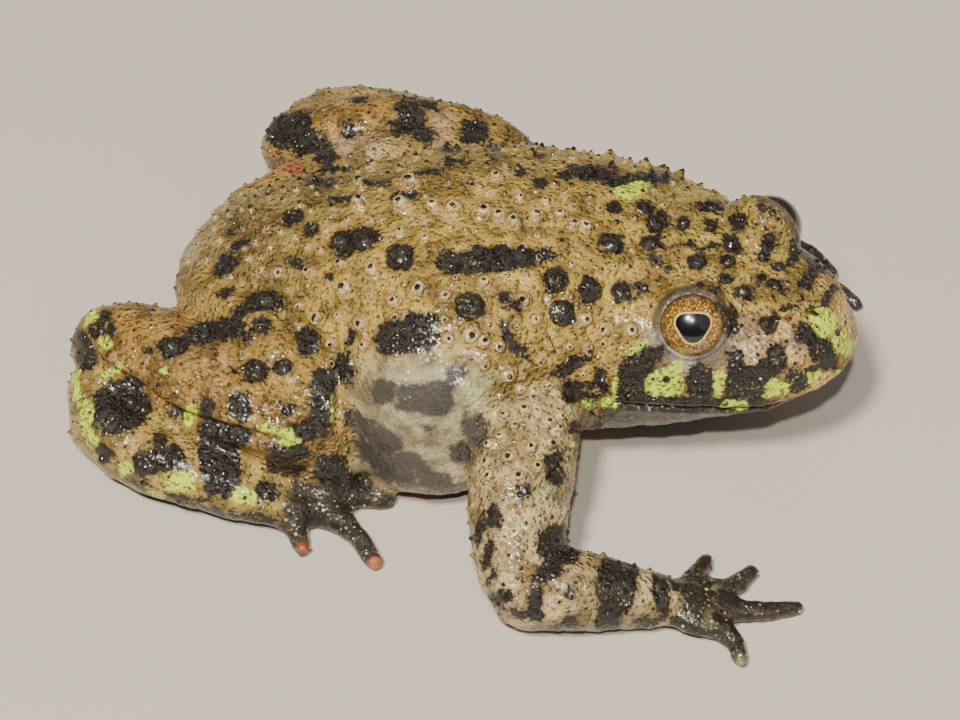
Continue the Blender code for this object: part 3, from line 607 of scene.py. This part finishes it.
def press_creases(skin):
    """Presses the folds of the skin in along their lines."""
    points, normals = read_points(skin.data), read_normals(skin.data)
    for depth, width, line in CREASES:
        spots = []
        for (x1, y1), (x2, y2) in zip(line[:-1], line[1:]):
            for share in np.linspace(0, 1, CREASE_STEPS):
                hit = view.hit(x1 + (x2 - x1) * share, y1 + (y2 - y1) * share)
                if hit is not None:
                    spots.append(np.array(hit))
        gap = np.min([np.linalg.norm(points - spot, axis=1) for spot in spots], axis=0)
        steps = gap / (width * MM)
        fold = np.exp(-steps ** 2) - 0.4 * np.exp(-(steps - 2.5) ** 2)
        points -= normals * (fold * depth * MM)[:, None]
    points[:, 2] = np.maximum(points[:, 2], FLOOR_GAP)
    write_points(skin.data, points)


# Tones and marks


class SkinMap:
    """What each point of the skin is: its part of the body, its way up and where the viewpoint sees it."""

    def __init__(self, skin):
        self.mesh = skin.data
        self.points = read_points(self.mesh)
        self.normals = read_normals(self.mesh)
        self.height = self.points[:, 2] / MM
        edges = np.empty(len(self.mesh.edges) * 2, dtype=np.int64)
        self.mesh.edges.foreach_get("vertices", edges)
        self.edges = edges.reshape(-1, 2)
        self.pixel_x, self.pixel_y = view.pixels(self.points)
        self.parts = self.find_parts()
        past_tarsus = ease(self.points[:, 0] / MM, TOE_BASE - 1, TOE_BASE)
        self.toes = self.share("hand", 3) + self.share("foot", 3) * past_tarsus

    def find_parts(self):
        """Which segment each point belongs to."""
        corners, faces, owners = [], [], []
        for number, name in enumerate(FLESH):
            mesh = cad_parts[name].data
            start = len(corners)
            corners += [v.co.copy() for v in mesh.vertices]
            faces += [[start + i for i in p.vertices] for p in mesh.polygons]
            owners += [number] * len(mesh.polygons)
        tree = BVHTree.FromPolygons(corners, faces)
        return np.array([owners[tree.find_nearest(Vector(p))[2]] for p in self.points])

    def share(self, start, rounds=8):
        """A soft mask of the segments whose names start so."""
        wanted = [number for number, name in enumerate(FLESH) if name.startswith(start)]
        return self.soften(np.isin(self.parts, wanted).astype(float), rounds)

    def regions(self):
        """Hard masks of the torso, the head, the limbs short of their digits, and the digits."""
        torso, head, limbs = (self.share(start, 0) > 0.5 for start in ("torso", "head", ("foot", *LIMBS)))
        digits = self.toes > 0.5
        return torso, head, limbs & ~digits, digits

    def soften(self, values, rounds):
        """Evens out values between neighbouring points."""
        first, second = self.edges.T
        count = np.bincount(self.edges.ravel(), minlength=len(values))
        for _ in range(rounds):
            total = np.bincount(first, values[second], len(values))
            total += np.bincount(second, values[first], len(values))
            values = (values + total / count) / 2
        return values

    def inside(self, marks):
        """How many mm each point lies inside the marks, and less than zero outside them."""
        depth = np.full(len(self.points), FAR_OUTSIDE)
        for x, y, length, width, *slant in marks:
            hit = view.hit(x, y)
            if hit is None:
                continue
            reach = (max(length, width) * 0.9 / PIXELS_PER_MM + 0.8) * MM
            near = np.linalg.norm(self.points - np.array(hit), axis=1) < reach
            turn = math.radians(slant[0] if slant else 0)
            c, s = math.cos(turn), math.sin(turn)
            right, up = self.pixel_x[near] - x, y - self.pixel_y[near]
            along = np.abs(right * c + up * s) * 2 / length
            across = np.abs(up * c - right * s) * 2 / width
            part = 1 - (along ** MARK_CORNERS + across ** MARK_CORNERS) ** (1 / MARK_CORNERS)
            depth[near] = np.maximum(depth[near], part * min(length, width) / 2 / PIXELS_PER_MM)
        return depth

    def blots(self, chosen, count, low, high, seed):
        """Seeded marks on the chosen points, as inside() gives them."""
        draw = random.Random(seed)
        sites = np.flatnonzero(chosen)
        depth = np.full(len(self.points), FAR_OUTSIDE)
        for _ in range(count if len(sites) else 0):
            centre = self.points[sites[draw.randrange(len(sites))]]
            radius = draw.uniform(low, high)
            turn = draw.uniform(0, math.pi)
            long_axis = np.array((math.cos(turn), math.sin(turn), 0))
            offset = (self.points - centre) / MM
            stretched = offset - BLOT_STRETCH * (offset @ long_axis)[:, None] * long_axis
            depth = np.maximum(depth, radius - np.linalg.norm(stretched, axis=1))
        return depth


def paint_tones(skin_map):
    """The ground tone of every point, before speckles and marks, how grainy it is and how far it is belly."""
    points, normals, height = skin_map.points, skin_map.normals, skin_map.height
    along, across = points[:, 0] / MM, points[:, 1] / MM
    ahead, _, up = head_measures(points)
    torso, head, jaw = (skin_map.share(name) for name in ("torso", "head", "jaw"))
    flank = torso * (1 - ease(height, 5.5, 9.5)) * (1 - ease(along, 6, 10))
    flank = np.maximum(flank, torso * ease(skin_map.inside(FLANK_AREA), -1.2, 2.4))
    below = ease(-normals[:, 2], 0.55, 0.9) * torso + ease(-normals[:, 2], 0.8, 0.98) * (1 - torso)
    below *= 1 - ease(height, 3.0, 6.0)
    throat = np.maximum(jaw, head * (up < -4.0)) * ease(-normals[:, 2], 0.55, 0.9)
    belly = np.maximum(below, throat)
    above, open_share = mouth_gap(points)
    mouth = open_share * (head + jaw)
    lip = np.clip(mouth * ease(above, -2.8, -1.7) * (1 - ease(above, -0.1, 0.15)), 0, 1)
    lip_edge = np.clip(mouth * np.exp(-((above + 0.15) / 0.14) ** 2) * ease(ahead, 1.5, 3.5), 0, 1)
    smooth = np.maximum.reduce([flank, belly, lip, skin_map.toes])
    layers = [
        # painted shade: darkens the back towards its far (left) side
        (FAR_BACK_SHADE_OLIVE, torso * ease(across, 0.5, 5) * 0.6),
        # darker towards the rump: partly its own olive tone, partly painted shade
        (RUMP_OLIVE_AND_SHADE, torso * ease(-along, 7, 13) * 0.75),
        (HEAD_TAN, head * 0.9),
        (SNOUT_ORANGE, head * ease(ahead, 0.5, 4.5) * (1 - ease(up, -1.5, 1.0)) * 0.9),
        (LIMB_OCHRE, skin_map.share("thigh")),
        (SHANK_BROWN, skin_map.share("shank")),
        (TARSUS_TAN, skin_map.share("foot")),
        (ARM_PALE, skin_map.share(("upper_arm", "forearm"))),
        (FLANK_GREY, flank),
        (DIGIT_DARK, np.minimum(skin_map.toes * 1.15, 1)),
        (BELLY_RED, belly),
        (LIP_GREY, lip * 0.92),
        (LIP_GREY, jaw * ease(normals[:, 2], -0.8, -0.45) * 0.8),
        (LIP_EDGE, lip_edge * 0.7),
    ]
    for name, side in SIDES.items():
        offset, reach, past = eye_polar(points, name)
        near = reach < LID_TONE_REACH
        ring = (1 - ease(past, 0.18, 0.46)) * near
        low = ease(-(offset @ eye_axes(side)[1]) / EYE_RADIUS, 0.0, 0.5)
        layers += [(LID_GREY, ring), (LID_LILAC, (1 - ease(past, 0.20, 0.40)) * near * low)]
        smooth = np.maximum(smooth, ring)
    for colour, share, softness, marks in TINTS_AND_PAINTED_LIGHT:
        layers.append((colour, ease(skin_map.inside(marks), -softness, softness) * share))
    tone = np.tile(np.array(BACK_TAN), (len(points), 1))
    for colour, share in layers:
        tone = blend(tone, colour, share)
    return tone, 1 - smooth, belly


def paint_marks(skin_map, belly):
    """Depth inside the black marks (along the leg's lower edge partly painted shade), the green ones and the
    dusky ones of the flank.
    """
    facing = skin_map.normals @ np.array(-view.ahead)
    unseen, seen = facing < 0.05, ease(facing, 0.05, 0.3)
    dark = skin_map.inside(BLACK_MARKS_AND_SHADE)
    torso, head, limbs, digits = skin_map.regions()
    upper = unseen & (belly < 0.3)
    # Chosen points, how many blots, least and greatest radius in mm
    for chosen, count, low, high in (
        (upper & torso, 26, 0.5, 1.3),
        (upper & limbs, 50, 0.5, 1.2),
        (upper & digits, 50, 0.4, 0.9),
        (upper & head, 16, 0.4, 0.9),
        (belly > 0.6, 90, 0.6, 1.7),
    ):
        blots = skin_map.blots(chosen, count, low, high, SEED + count) - 4 * seen
        dark = np.maximum(dark, blots)
    green = skin_map.inside(GREEN_MARKS)
    green = np.maximum(green, skin_map.blots(upper & (skin_map.height > 4), 22, 0.25, 0.6, SEED + 5))
    dusk = skin_map.inside(FLANK_MARKS)
    dusk = np.maximum(dusk, skin_map.blots(upper & torso & (skin_map.height < 7), 16, 0.6, 1.3, SEED + 6))
    return np.stack([dark, green, dusk], axis=1)


# Warts


def wart_model(name, sides, bell):
    """A low mound modelled once: a disc drawn up into a bell of rings, with a root below."""
    bpy.ops.mesh.primitive_circle_add(vertices=sides, radius=1.0, fill_type="NGON", location=(0, 0, -1))
    wart = bpy.context.object
    wart.name = name
    bpy.ops.object.transform_apply(location=True)
    bpy.ops.object.mode_set(mode="EDIT")
    bpy.ops.mesh.select_mode(type="FACE")
    bpy.ops.mesh.select_all(action="SELECT")
    bpy.ops.mesh.extrude_region_move(TRANSFORM_OT_translate={"value": (0, 0, 1)})
    level, size = 0.0, 1.0
    for radius, rise in bell:
        bpy.ops.mesh.extrude_region_move(TRANSFORM_OT_translate={"value": (0, 0, rise - level)})
        bpy.ops.transform.resize(value=(radius / size, radius / size, 1))
        level, size = rise, radius
    bpy.ops.mesh.select_all(action="SELECT")
    bpy.ops.mesh.normals_make_consistent(inside=False)
    bpy.ops.object.mode_set(mode="OBJECT")
    return wart


class Ground:
    """The finished skin that warts are set on."""

    def __init__(self, skin, values):
        mesh = skin.data
        self.points, self.normals = read_points(mesh), read_normals(mesh)
        faces = [tuple(p.vertices) for p in mesh.polygons]
        self.corners = np.array([face[:3] + face[-1:] for face in faces])
        self.tree = BVHTree.FromPolygons([Vector(p) for p in self.points], faces)
        self.values = values

    def settle(self, places):
        """The skin's nearest points to some places, with their normals and painted values."""
        found = [self.tree.find_nearest(Vector(place)) for place in places]
        spots = np.array([f[0] for f in found])
        corners = self.corners[[f[2] for f in found]]
        weight = 1 / (np.linalg.norm(self.points[corners] - spots[:, None], axis=2) + 1e-6)
        weight = (weight / weight.sum(axis=1, keepdims=True))[..., None]
        normals = (self.normals[corners] * weight).sum(axis=1)
        normals /= np.linalg.norm(normals, axis=1, keepdims=True)
        painted = [(v.reshape(len(v), -1)[corners] * weight).sum(axis=1) for v in self.values]
        return spots, normals, painted


def wart_sites(skin_map, grain, belly):
    """Places for warts, each with a radius in mm and a kind: those seen, then seeded ones between them."""
    draw = random.Random(SEED + 9)
    points, up = skin_map.points, skin_map.normals[:, 2]
    torso, crown, limbs, digits = skin_map.regions()
    across, height = points[:, 1] / MM, skin_map.height
    above = head_measures(points)[2]
    places, radii, kinds = [], [], []

    def add(place, radius, kind):
        places.append(place)
        radii.append(radius)
        kinds.append(kind)

    for kind, warts, swell in (("black", BLACK_WARTS, 1.05), ("pore", PORE_WARTS, 1.3)):
        for x, y, radius in warts:
            hit = view.hit(x, y)
            if hit is not None:
                add(np.array(hit), radius / PIXELS_PER_MM * swell, kind)
    # Chosen points, tries, least and greatest radius in mm, spacing in radii, kind
    regions = (
        (torso & (across > -1.5) & (height > 9) & (grain > 0.6), 900, 0.32, 0.55, 1.3, "cone"),
        (torso & (up > 0.1) & (grain > 0.6), 2600, 0.30, 0.62, 1.2, "pore"),
        (crown & (up > 0.0) & (grain > 0.8) & (above > -2.5), 1300, 0.17, 0.36, 1.1, "tip"),
        (limbs & (up > -0.1) & (belly < 0.2), 2400, 0.18, 0.36, 1.5, "tip"),
        (torso & (grain > 0.45) & (up > -0.2), 2600, 0.13, 0.24, 1.2, "tip"),
        (digits & (up > 0.0), 160, 0.08, 0.19, 1.8, "pale"),
    )
    for chosen, tries, low, high, spacing, kind in regions:
        candidates = np.flatnonzero(chosen)
        for attempt in range(tries):
            place = points[candidates[draw.randrange(len(candidates))]]
            radius = low + (high - low) * draw.random() * (1 - 0.7 * attempt / tries)
            gaps = np.linalg.norm(np.array(places) - place, axis=1) / MM
            if np.all(gaps > (np.array(radii) + radius) * spacing):
                add(place, radius, kind)
    return np.array(places), np.array(radii), kinds


def set_warts(ground, sites):
    """Copies a model to every site, bent to the skin there, and joins the copies."""
    draw = random.Random(SEED + 20)
    models = {kind: wart_model(kind, sides, bell) for kind, (sides, _, _, bell) in WART_KINDS.items()}
    shapes = {kind: read_points(model.data) for kind, model in models.items()}
    places, radii, kinds = sites
    centres, normals, _ = ground.settle(places)
    goals, rises, tops, tags = [], [], [], []
    for centre, normal, radius, kind in zip(centres, normals, radii, kinds):
        shape = shapes[kind]
        across = np.array(Vector(normal).orthogonal().normalized())
        beside = np.cross(normal, across)
        height = radius * draw.uniform(0.85, 1.15) * WART_KINDS[kind][1]
        lean = [draw.uniform(-WART_LEAN, WART_LEAN) for _ in range(2)]
        for x, y, z in shape:
            ring = math.hypot(x, y)
            wobble = radius * MM * (1 + draw.uniform(-WART_WOBBLE, WART_WOBBLE) * (ring > 0.3))
            x, y = x + lean[0] * max(z, 0), y + lean[1] * max(z, 0)
            goals.append(centre + (across * x + beside * y) * wobble)
            knob = draw.uniform(-WART_KNOBS, WART_KNOBS) if kind == "black" else 0
            rises.append(-WART_ROOT if z < 0 else (max(z, 0) + knob * (ring < 0.9)) * height - WART_SEAT)
            tops.append((1 - ring) * (z >= 0))
            tags.append(WART_KINDS[kind][2])
    spots, lifts, painted = ground.settle(goals)
    points = spots + lifts * (np.array(rises) * MM)[:, None]
    copies, start = [], 0
    for kind in kinds:
        wart = bpy.data.objects.new("wart", models[kind].data.copy())
        bpy.context.scene.collection.objects.link(wart)
        count = len(shapes[kind])
        write_points(wart.data, points[start:start + count])
        start += count
        copies.append(wart)
    for model in models.values():
        bpy.data.objects.remove(model)
    return join("warts", copies), painted, np.array(tops), np.array(tags)


# Eyes


def eyeball(name, side):
    """A smooth ball turned to its gaze, with a flat map of its front and the iris's shaded part."""
    bpy.ops.mesh.primitive_uv_sphere_add(segments=72, ring_count=48, radius=EYE_RADIUS)
    eye = bpy.context.object
    eye.name = eye.data.name = "eyeball_" + name
    look = gaze(side)
    turn = look.to_track_quat("Z", "Y").to_matrix()
    points = read_points(eye.data) @ np.array(turn).T
    right, up = eye_axes(side)
    front = [points @ axis / EYE_RADIUS for axis in (right, up, np.array(look))]
    write_points(eye.data, points + np.array(eye_centre(side)))
    write_values(eye.data, "front", np.stack(front, axis=1))
    # painted shade: the far eye's iris is darkened towards the turn where its lid droops most, for how dark
    # it looks from a slant
    shade = np.cos(np.arctan2(front[1], front[0]) - DROOP_TURN) * (DROOP[name] > 0)
    write_values(eye.data, "shade", np.maximum(shade, 0))
    pick(eye)
    bpy.ops.object.shade_smooth()
    return eye


# Materials


class Finish:
    """A material whose nodes are wired in code."""

    def __init__(self, name):
        self.material = bpy.data.materials.new(name)
        self.material.use_nodes = True
        self.tree = self.material.node_tree
        self.shader = self.tree.nodes["Principled BSDF"]

    def node(self, kind, inputs=(), **settings):
        """Adds a node. inputs maps sockets to numbers, colours or other nodes' outputs."""
        node = self.tree.nodes.new("ShaderNode" + kind)
        for key, value in settings.items():
            setattr(node, key, value)
        for socket, value in dict(inputs).items():
            self.feed(node.inputs[socket], value)
        return node

    def feed(self, socket, value):
        if isinstance(value, bpy.types.NodeSocket):
            self.tree.links.new(value, socket)
        elif isinstance(value, tuple) and len(value) == 3 and socket.type == "RGBA":
            socket.default_value = (*value, 1)
        else:
            socket.default_value = value

    def attribute(self, name, output="Fac"):
        return self.node("Attribute", attribute_name=name).outputs[output]

    def math(self, operation, *values):
        return self.node("Math", dict(enumerate(values)), operation=operation).outputs[0]

    def chain(self, operation, *values):
        """Takes the values together, one after another."""
        result = values[0]
        for value in values[1:]:
            result = self.math(operation, result, value)
        return result

    def product(self, *values):
        return self.chain("MULTIPLY", *values)

    def total(self, *values):
        return self.chain("ADD", *values)

    def mix(self, share, first, second, blend_type="MIX"):
        node = self.node("Mix", data_type="RGBA", blend_type=blend_type)
        self.feed(node.inputs[0], share)
        self.feed(node.inputs[6], first)
        self.feed(node.inputs[7], second)
        return node.outputs[2]

    def lay(self, colour, tone, *shares):
        """Lays a tone over a colour, by the product of the shares."""
        return self.mix(self.product(*shares), colour, tone)

    def window(self, value, low, high):
        """0 below low, 1 above high, smooth between."""
        node = self.node("MapRange", {0: value, 1: low, 2: high}, interpolation_type="SMOOTHSTEP")
        return node.outputs[0]

    def noise(self, vector, scale, detail=2.0, roughness=0.5):
        inputs = {"Vector": vector, "Scale": scale, "Detail": detail, "Roughness": roughness}
        return self.node("TexNoise", inputs).outputs["Fac"]

    def spots(self, vector, scale, detail, roughness, low, high):
        """Noise cut into soft-edged spots between two levels."""
        return self.window(self.noise(vector, scale, detail, roughness), low, high)

    def cells(self, vector, scale, feature="F1"):
        inputs = {"Vector": vector, "Scale": scale}
        return self.node("TexVoronoi", inputs, feature=feature).outputs["Distance"]

    def millimetres(self):
        place = self.node("TexCoord").outputs["Object"]
        return self.node("VectorMath", {0: place, "Scale": 1 / MM}, operation="SCALE").outputs[0]


def skin_finish():
    """Moist toad skin: mottled ochre with fine speckles and pores, green and black marks, pale wart tops."""
    finish = Finish("moist_toad_skin")
    place = finish.millimetres()
    tone = finish.attribute("tone", "Vector")
    grain = finish.attribute("grain")
    top = finish.attribute("top")
    kind = finish.attribute("wart_kind")
    dark, green, dusk = finish.node("SeparateXYZ", {0: finish.attribute("marks", "Vector")}).outputs
    rough_edge = finish.product(finish.math("SUBTRACT", finish.noise(place, 1.5, 5.0, 0.7), 0.5), 1.3)

    mottle = finish.spots(place, 0.55, 4.0, 0.6, 0.38, 0.60)
    colour = finish.mix(mottle, finish.mix(1.0, tone, MOTTLE_SHADE, "MULTIPLY"), tone)
    patches = finish.spots(place, 0.28, 3.0, 0.6, 0.55, 0.40)
    colour = finish.lay(colour, finish.mix(1.0, colour, PATCH_SHADE, "MULTIPLY"), patches, grain, 0.6)
    colour = finish.lay(colour, RUST, finish.spots(place, 1.7, 4.0, 0.65, 0.50, 0.66), grain, 0.55)
    colour = finish.lay(colour, MOUND_PINK, finish.spots(place, 0.95, 2.0, 0.5, 0.56, 0.68), grain, 0.45)
    dots = finish.spots(place, 5.5, 3.0, 0.6, 0.54, 0.66)
    colour = finish.lay(colour, SPECKLE_BROWN, dots, finish.total(grain, 0.25), 0.7)
    colour = finish.lay(colour, PORE_PALE, finish.spots(place, 4.1, 3.0, 0.6, 0.58, 0.70), 0.4)

    # Pored warts: a pink mound with fine dots and a broken pale ring round the pore
    is_mound = finish.math("LESS_THAN", finish.math("ABSOLUTE", kind), 0.2)
    mound = finish.window(top, 0.05, 0.35)
    colour = finish.lay(colour, MOUND_PINK, mound, is_mound, 0.45)
    fine_dots = finish.spots(place, 7.0, 2.0, 0.5, 0.50, 0.60)
    colour = finish.lay(colour, SPECKLE_BROWN, fine_dots, mound, is_mound, 0.7)
    broken = finish.spots(place, 8.0, 1.0, 0.5, 0.42, 0.52)
    colour = finish.lay(colour, PORE_PALE, finish.window(top, 0.44, 0.60), broken, is_mound)

    # Dusky marks, then black ones with a brown edge and olive flecks (along the leg's lower edge partly
    # painted shade), then green between them
    colour = finish.lay(colour, DUSK, finish.window(finish.total(dusk, rough_edge), -0.15, 0.2), 0.9)
    depth = finish.total(dark, rough_edge)
    colour = finish.lay(colour, SPECKLE_BROWN, finish.window(depth, -0.3, 0.0), 0.45)
    flecks = finish.spots(place, 4.5, 2.0, 0.5, 0.58, 0.66)
    black = finish.lay(BLACK, BLACK_FLECK, flecks, finish.spots(place, 0.7, 2.0, 0.5, 0.48, 0.66), 0.75)
    colour = finish.lay(colour, black, finish.window(depth, -0.03, 0.05))
    green_share = finish.window(finish.total(green, rough_edge), -0.08, 0.07)
    green_depth = finish.total(finish.product(finish.spots(place, 3.0, 2.0, 0.6, 0.34, 0.50), 0.6), 0.35)
    rest = finish.math("SUBTRACT", 1.0, finish.window(depth, 0.22, 0.36))
    colour = finish.lay(colour, GREEN, green_share, green_depth, rest)

    # Black warts, pores, dark tips and pale knobs on the digits
    wart_edge = finish.total(top, finish.product(rough_edge, 0.5))
    is_black = finish.math("GREATER_THAN", kind, 0.6)
    colour = finish.lay(colour, black, finish.window(wart_edge, 0.0, 0.12), is_black)
    has_pore = finish.math("GREATER_THAN", kind, -0.5)
    colour = finish.lay(colour, PORE_BLACK, finish.window(top, 0.74, 0.80), has_pore)
    is_tip = finish.product(finish.math("GREATER_THAN", kind, 0.2), finish.math("LESS_THAN", kind, 0.6))
    colour = finish.lay(colour, PORE_BLACK, is_tip, finish.window(top, 0.55, 0.66))
    is_pale = finish.math("LESS_THAN", kind, -0.5)
    colour = finish.lay(colour, PORE_PALE, is_pale, finish.window(top, 0.2, 0.5))

    # Fine grain under a wet film that is smoother than the skin
    fine = finish.noise(place, 7.0, 3.0, 0.6)
    granules = finish.window(finish.cells(place, 2.7), 0.55, 0.05)
    height = finish.total(finish.product(fine, 0.5), finish.product(granules, finish.total(grain, 0.35), 0.8))
    bump = finish.node("Bump", {"Strength": 1.0, "Distance": 0.2 * MM, "Height": height})
    ripples = finish.noise(place, 3.2, 2.0, 0.5)
    film = finish.total(finish.product(granules, 0.5), finish.product(ripples, 0.8))
    film_bump = finish.node("Bump", {"Strength": 1.0, "Distance": 0.09 * MM, "Height": film})
    wet = finish.spots(place, 0.9, 2.0, 0.5, 0.35, 0.7)
    finish.feed(finish.shader.inputs["Base Color"], colour)
    finish.feed(finish.shader.inputs["Roughness"], finish.total(finish.product(wet, 0.2), 0.36))
    finish.feed(finish.shader.inputs["Normal"], bump.outputs[0])
    finish.feed(finish.shader.inputs["Coat Normal"], film_bump.outputs[0])
    finish.shader.inputs["Specular IOR Level"].default_value = 0.3
    finish.shader.inputs["Coat Weight"].default_value = 0.6
    finish.shader.inputs["Coat Roughness"].default_value = 0.07
    return finish.material


def eye_finish():
    """A clear glossy eye: black pupil, pale ring, gold iris with dark veins, dark rim."""
    finish = Finish("clear_toad_eye")
    front = finish.attribute("front", "Vector")
    across, rise, ahead = finish.node("SeparateXYZ", {0: front}).outputs
    radius = finish.math("SQRT", finish.total(finish.product(across, across), finish.product(rise, rise)))
    raised = finish.product(finish.math("SUBTRACT", rise, 0.07), 1.12)
    angle = finish.math("ARCTAN2", raised, across)
    lobes = finish.math("COSINE", finish.product(finish.total(angle, math.pi / 2), 3.0))
    pupil_edge = finish.product(finish.total(finish.product(lobes, 0.12), 1.0), PUPIL_RADIUS)
    middle = finish.math("SQRT", finish.total(finish.product(across, across), finish.product(raised, raised)))
    past = finish.math("SUBTRACT", middle, pupil_edge)
    swirl = finish.node("TexNoise", {"Vector": front, "Scale": 3.0}).outputs[1]
    bend = {0: swirl, 1: (0.3, 0.3, 0.3), 2: front}
    bent = finish.node("VectorMath", bend, operation="MULTIPLY_ADD").outputs[0]
    veins = finish.cells(bent, 8.0, "DISTANCE_TO_EDGE")
    net = finish.math("SUBTRACT", 1.0, finish.window(veins, 0.03, 0.30))
    gold = finish.mix(finish.spots(front, 5.0, 3.0, 0.6, 0.42, 0.62), IRIS_ORANGE, IRIS_GOLD)
    iris = finish.lay(gold, IRIS_VEIN, net, 0.9)
    ring_end = finish.math("SUBTRACT", 1.0, finish.window(past, 0.04, 0.07))
    iris = finish.lay(iris, IRIS_RING, finish.window(past, 0.0, 0.02), ring_end, 0.9)
    iris = finish.lay(iris, IRIS_VEIN, finish.window(radius, 0.76, 0.90), 0.55)
    iris = finish.lay(iris, IRIS_RIM, finish.window(radius, 0.885, 0.915))
    colour = finish.lay(PUPIL_BLACK, iris, finish.window(past, -0.012, 0.012))
    colour = finish.lay(IRIS_RIM, colour, finish.window(ahead, 0.1, 0.3))
    # painted shade on the far eye's iris
    colour = finish.lay(colour, IRIS_RIM, finish.window(finish.attribute("shade"), 0.1, 0.5))
    finish.feed(finish.shader.inputs["Base Color"], colour)
    finish.shader.inputs["Roughness"].default_value = 0.25
    finish.shader.inputs["Coat Weight"].default_value = 1.0
    finish.shader.inputs["Coat Roughness"].default_value = 0.02
    return finish.material


# Camera, light and floor


def make_camera():
    rotation = view.ahead.to_track_quat("-Z", "Y").to_euler()
    bpy.ops.object.camera_add(location=view.place, rotation=rotation)
    camera = bpy.context.object
    camera.name = "camera"
    camera.data.sensor_width = SENSOR_MM
    camera.data.lens = FOCAL_PIXELS * SENSOR_MM / PICTURE[0]
    camera.data.clip_start = 10 * MM
    camera.data.clip_end = 20
    bpy.context.scene.camera = camera


def area_light(name, azimuth, elevation, distance, size, power, tint=(1, 1, 1)):
    """A soft round light. Azimuth 0 is level with the toad's right side, as the viewpoint's."""
    a, e = math.radians(azimuth), math.radians(elevation)
    place = Vector((math.sin(a) * math.cos(e), -math.cos(a) * math.cos(e), math.sin(e))) * distance
    rotation = (-place).to_track_quat("-Z", "Y").to_euler()
    bpy.ops.object.light_add(type="AREA", location=place, rotation=rotation)
    light = bpy.context.object
    light.name = name
    light.data.shape = "DISK"
    light.data.size = size
    light.data.energy = power
    light.data.color = tint


def make_studio():
    """Four lights, a dim even surround and a plain pale floor."""
    area_light("key_light", -12, 62, 0.55, 0.09, 4.1, (1.0, 0.96, 0.88))
    area_light("fill_light", 80, 35, 0.6, 0.7, 0.5)
    area_light("back_light", 190, 45, 0.6, 0.5, 0.2)
    area_light("glint_light", 14, 57, 0.5, 0.02, 1.7, (1.0, 0.98, 0.95))
    world = bpy.data.worlds.new("studio")
    world.use_nodes = True
    background = world.node_tree.nodes["Background"]
    background.inputs["Color"].default_value = (0.9, 0.93, 1.0, 1)
    background.inputs["Strength"].default_value = 0.08
    bpy.context.scene.world = world
    bpy.ops.mesh.primitive_plane_add(size=6, location=(0, 0, 0))
    floor = bpy.context.object
    floor.name = "studio_floor"
    finish = Finish("pale_floor")
    finish.shader.inputs["Base Color"].default_value = (0.52, 0.47, 0.38, 1)
    finish.shader.inputs["Roughness"].default_value = 0.55
    floor.data.materials.append(finish.material)


# Putting the toad together


def wear(piece, finish, body, slot, *nodes):
    """Gives a piece its finish and its place in the model."""
    piece.data.materials.append(finish)
    pick(piece)
    bpy.ops.object.shade_smooth()
    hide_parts(*nodes)
    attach(piece, body)


def dress_toad():
    """Makes the skin, its warts and the eyes, and puts them on the toad's body."""
    skin = fused_body()
    knead(skin)
    shape_lids(skin)
    faces = [tuple(p.vertices) for p in skin.data.polygons]
    view.skin = BVHTree.FromPolygons([v.co.copy() for v in skin.data.vertices], faces)
    carve_mouth(skin)
    carve_nostrils(skin)
    press_creases(skin)
    skin_map = SkinMap(skin)
    tone, grain, belly = paint_tones(skin_map)
    marks = paint_marks(skin_map, belly)
    ground = Ground(skin, (tone, grain, marks))
    sites = wart_sites(skin_map, grain, belly)
    warts, painted, top, kind = set_warts(ground, sites)
    no_wart = np.zeros(len(skin.data.vertices))
    tables = ((skin.data, (tone, grain, marks, no_wart, no_wart)), (warts.data, (*painted, top, kind)))
    for mesh, values in tables:
        for name, rows in zip(("tone", "grain", "marks", "top", "wart_kind"), values):
            rows = rows[:, 0] if rows.ndim == 2 and rows.shape[1] == 1 else rows
            write_values(mesh, name, rows)
    moist = skin_finish()
    for piece in (skin, warts):
        wear(piece, moist, "root", "skin", *FLESH)
    gloss = eye_finish()
    for name, side in SIDES.items():
        wear(eyeball(name, side), gloss, "root", "eye", "eye_" + name)


dress_toad()
make_camera()
make_studio()
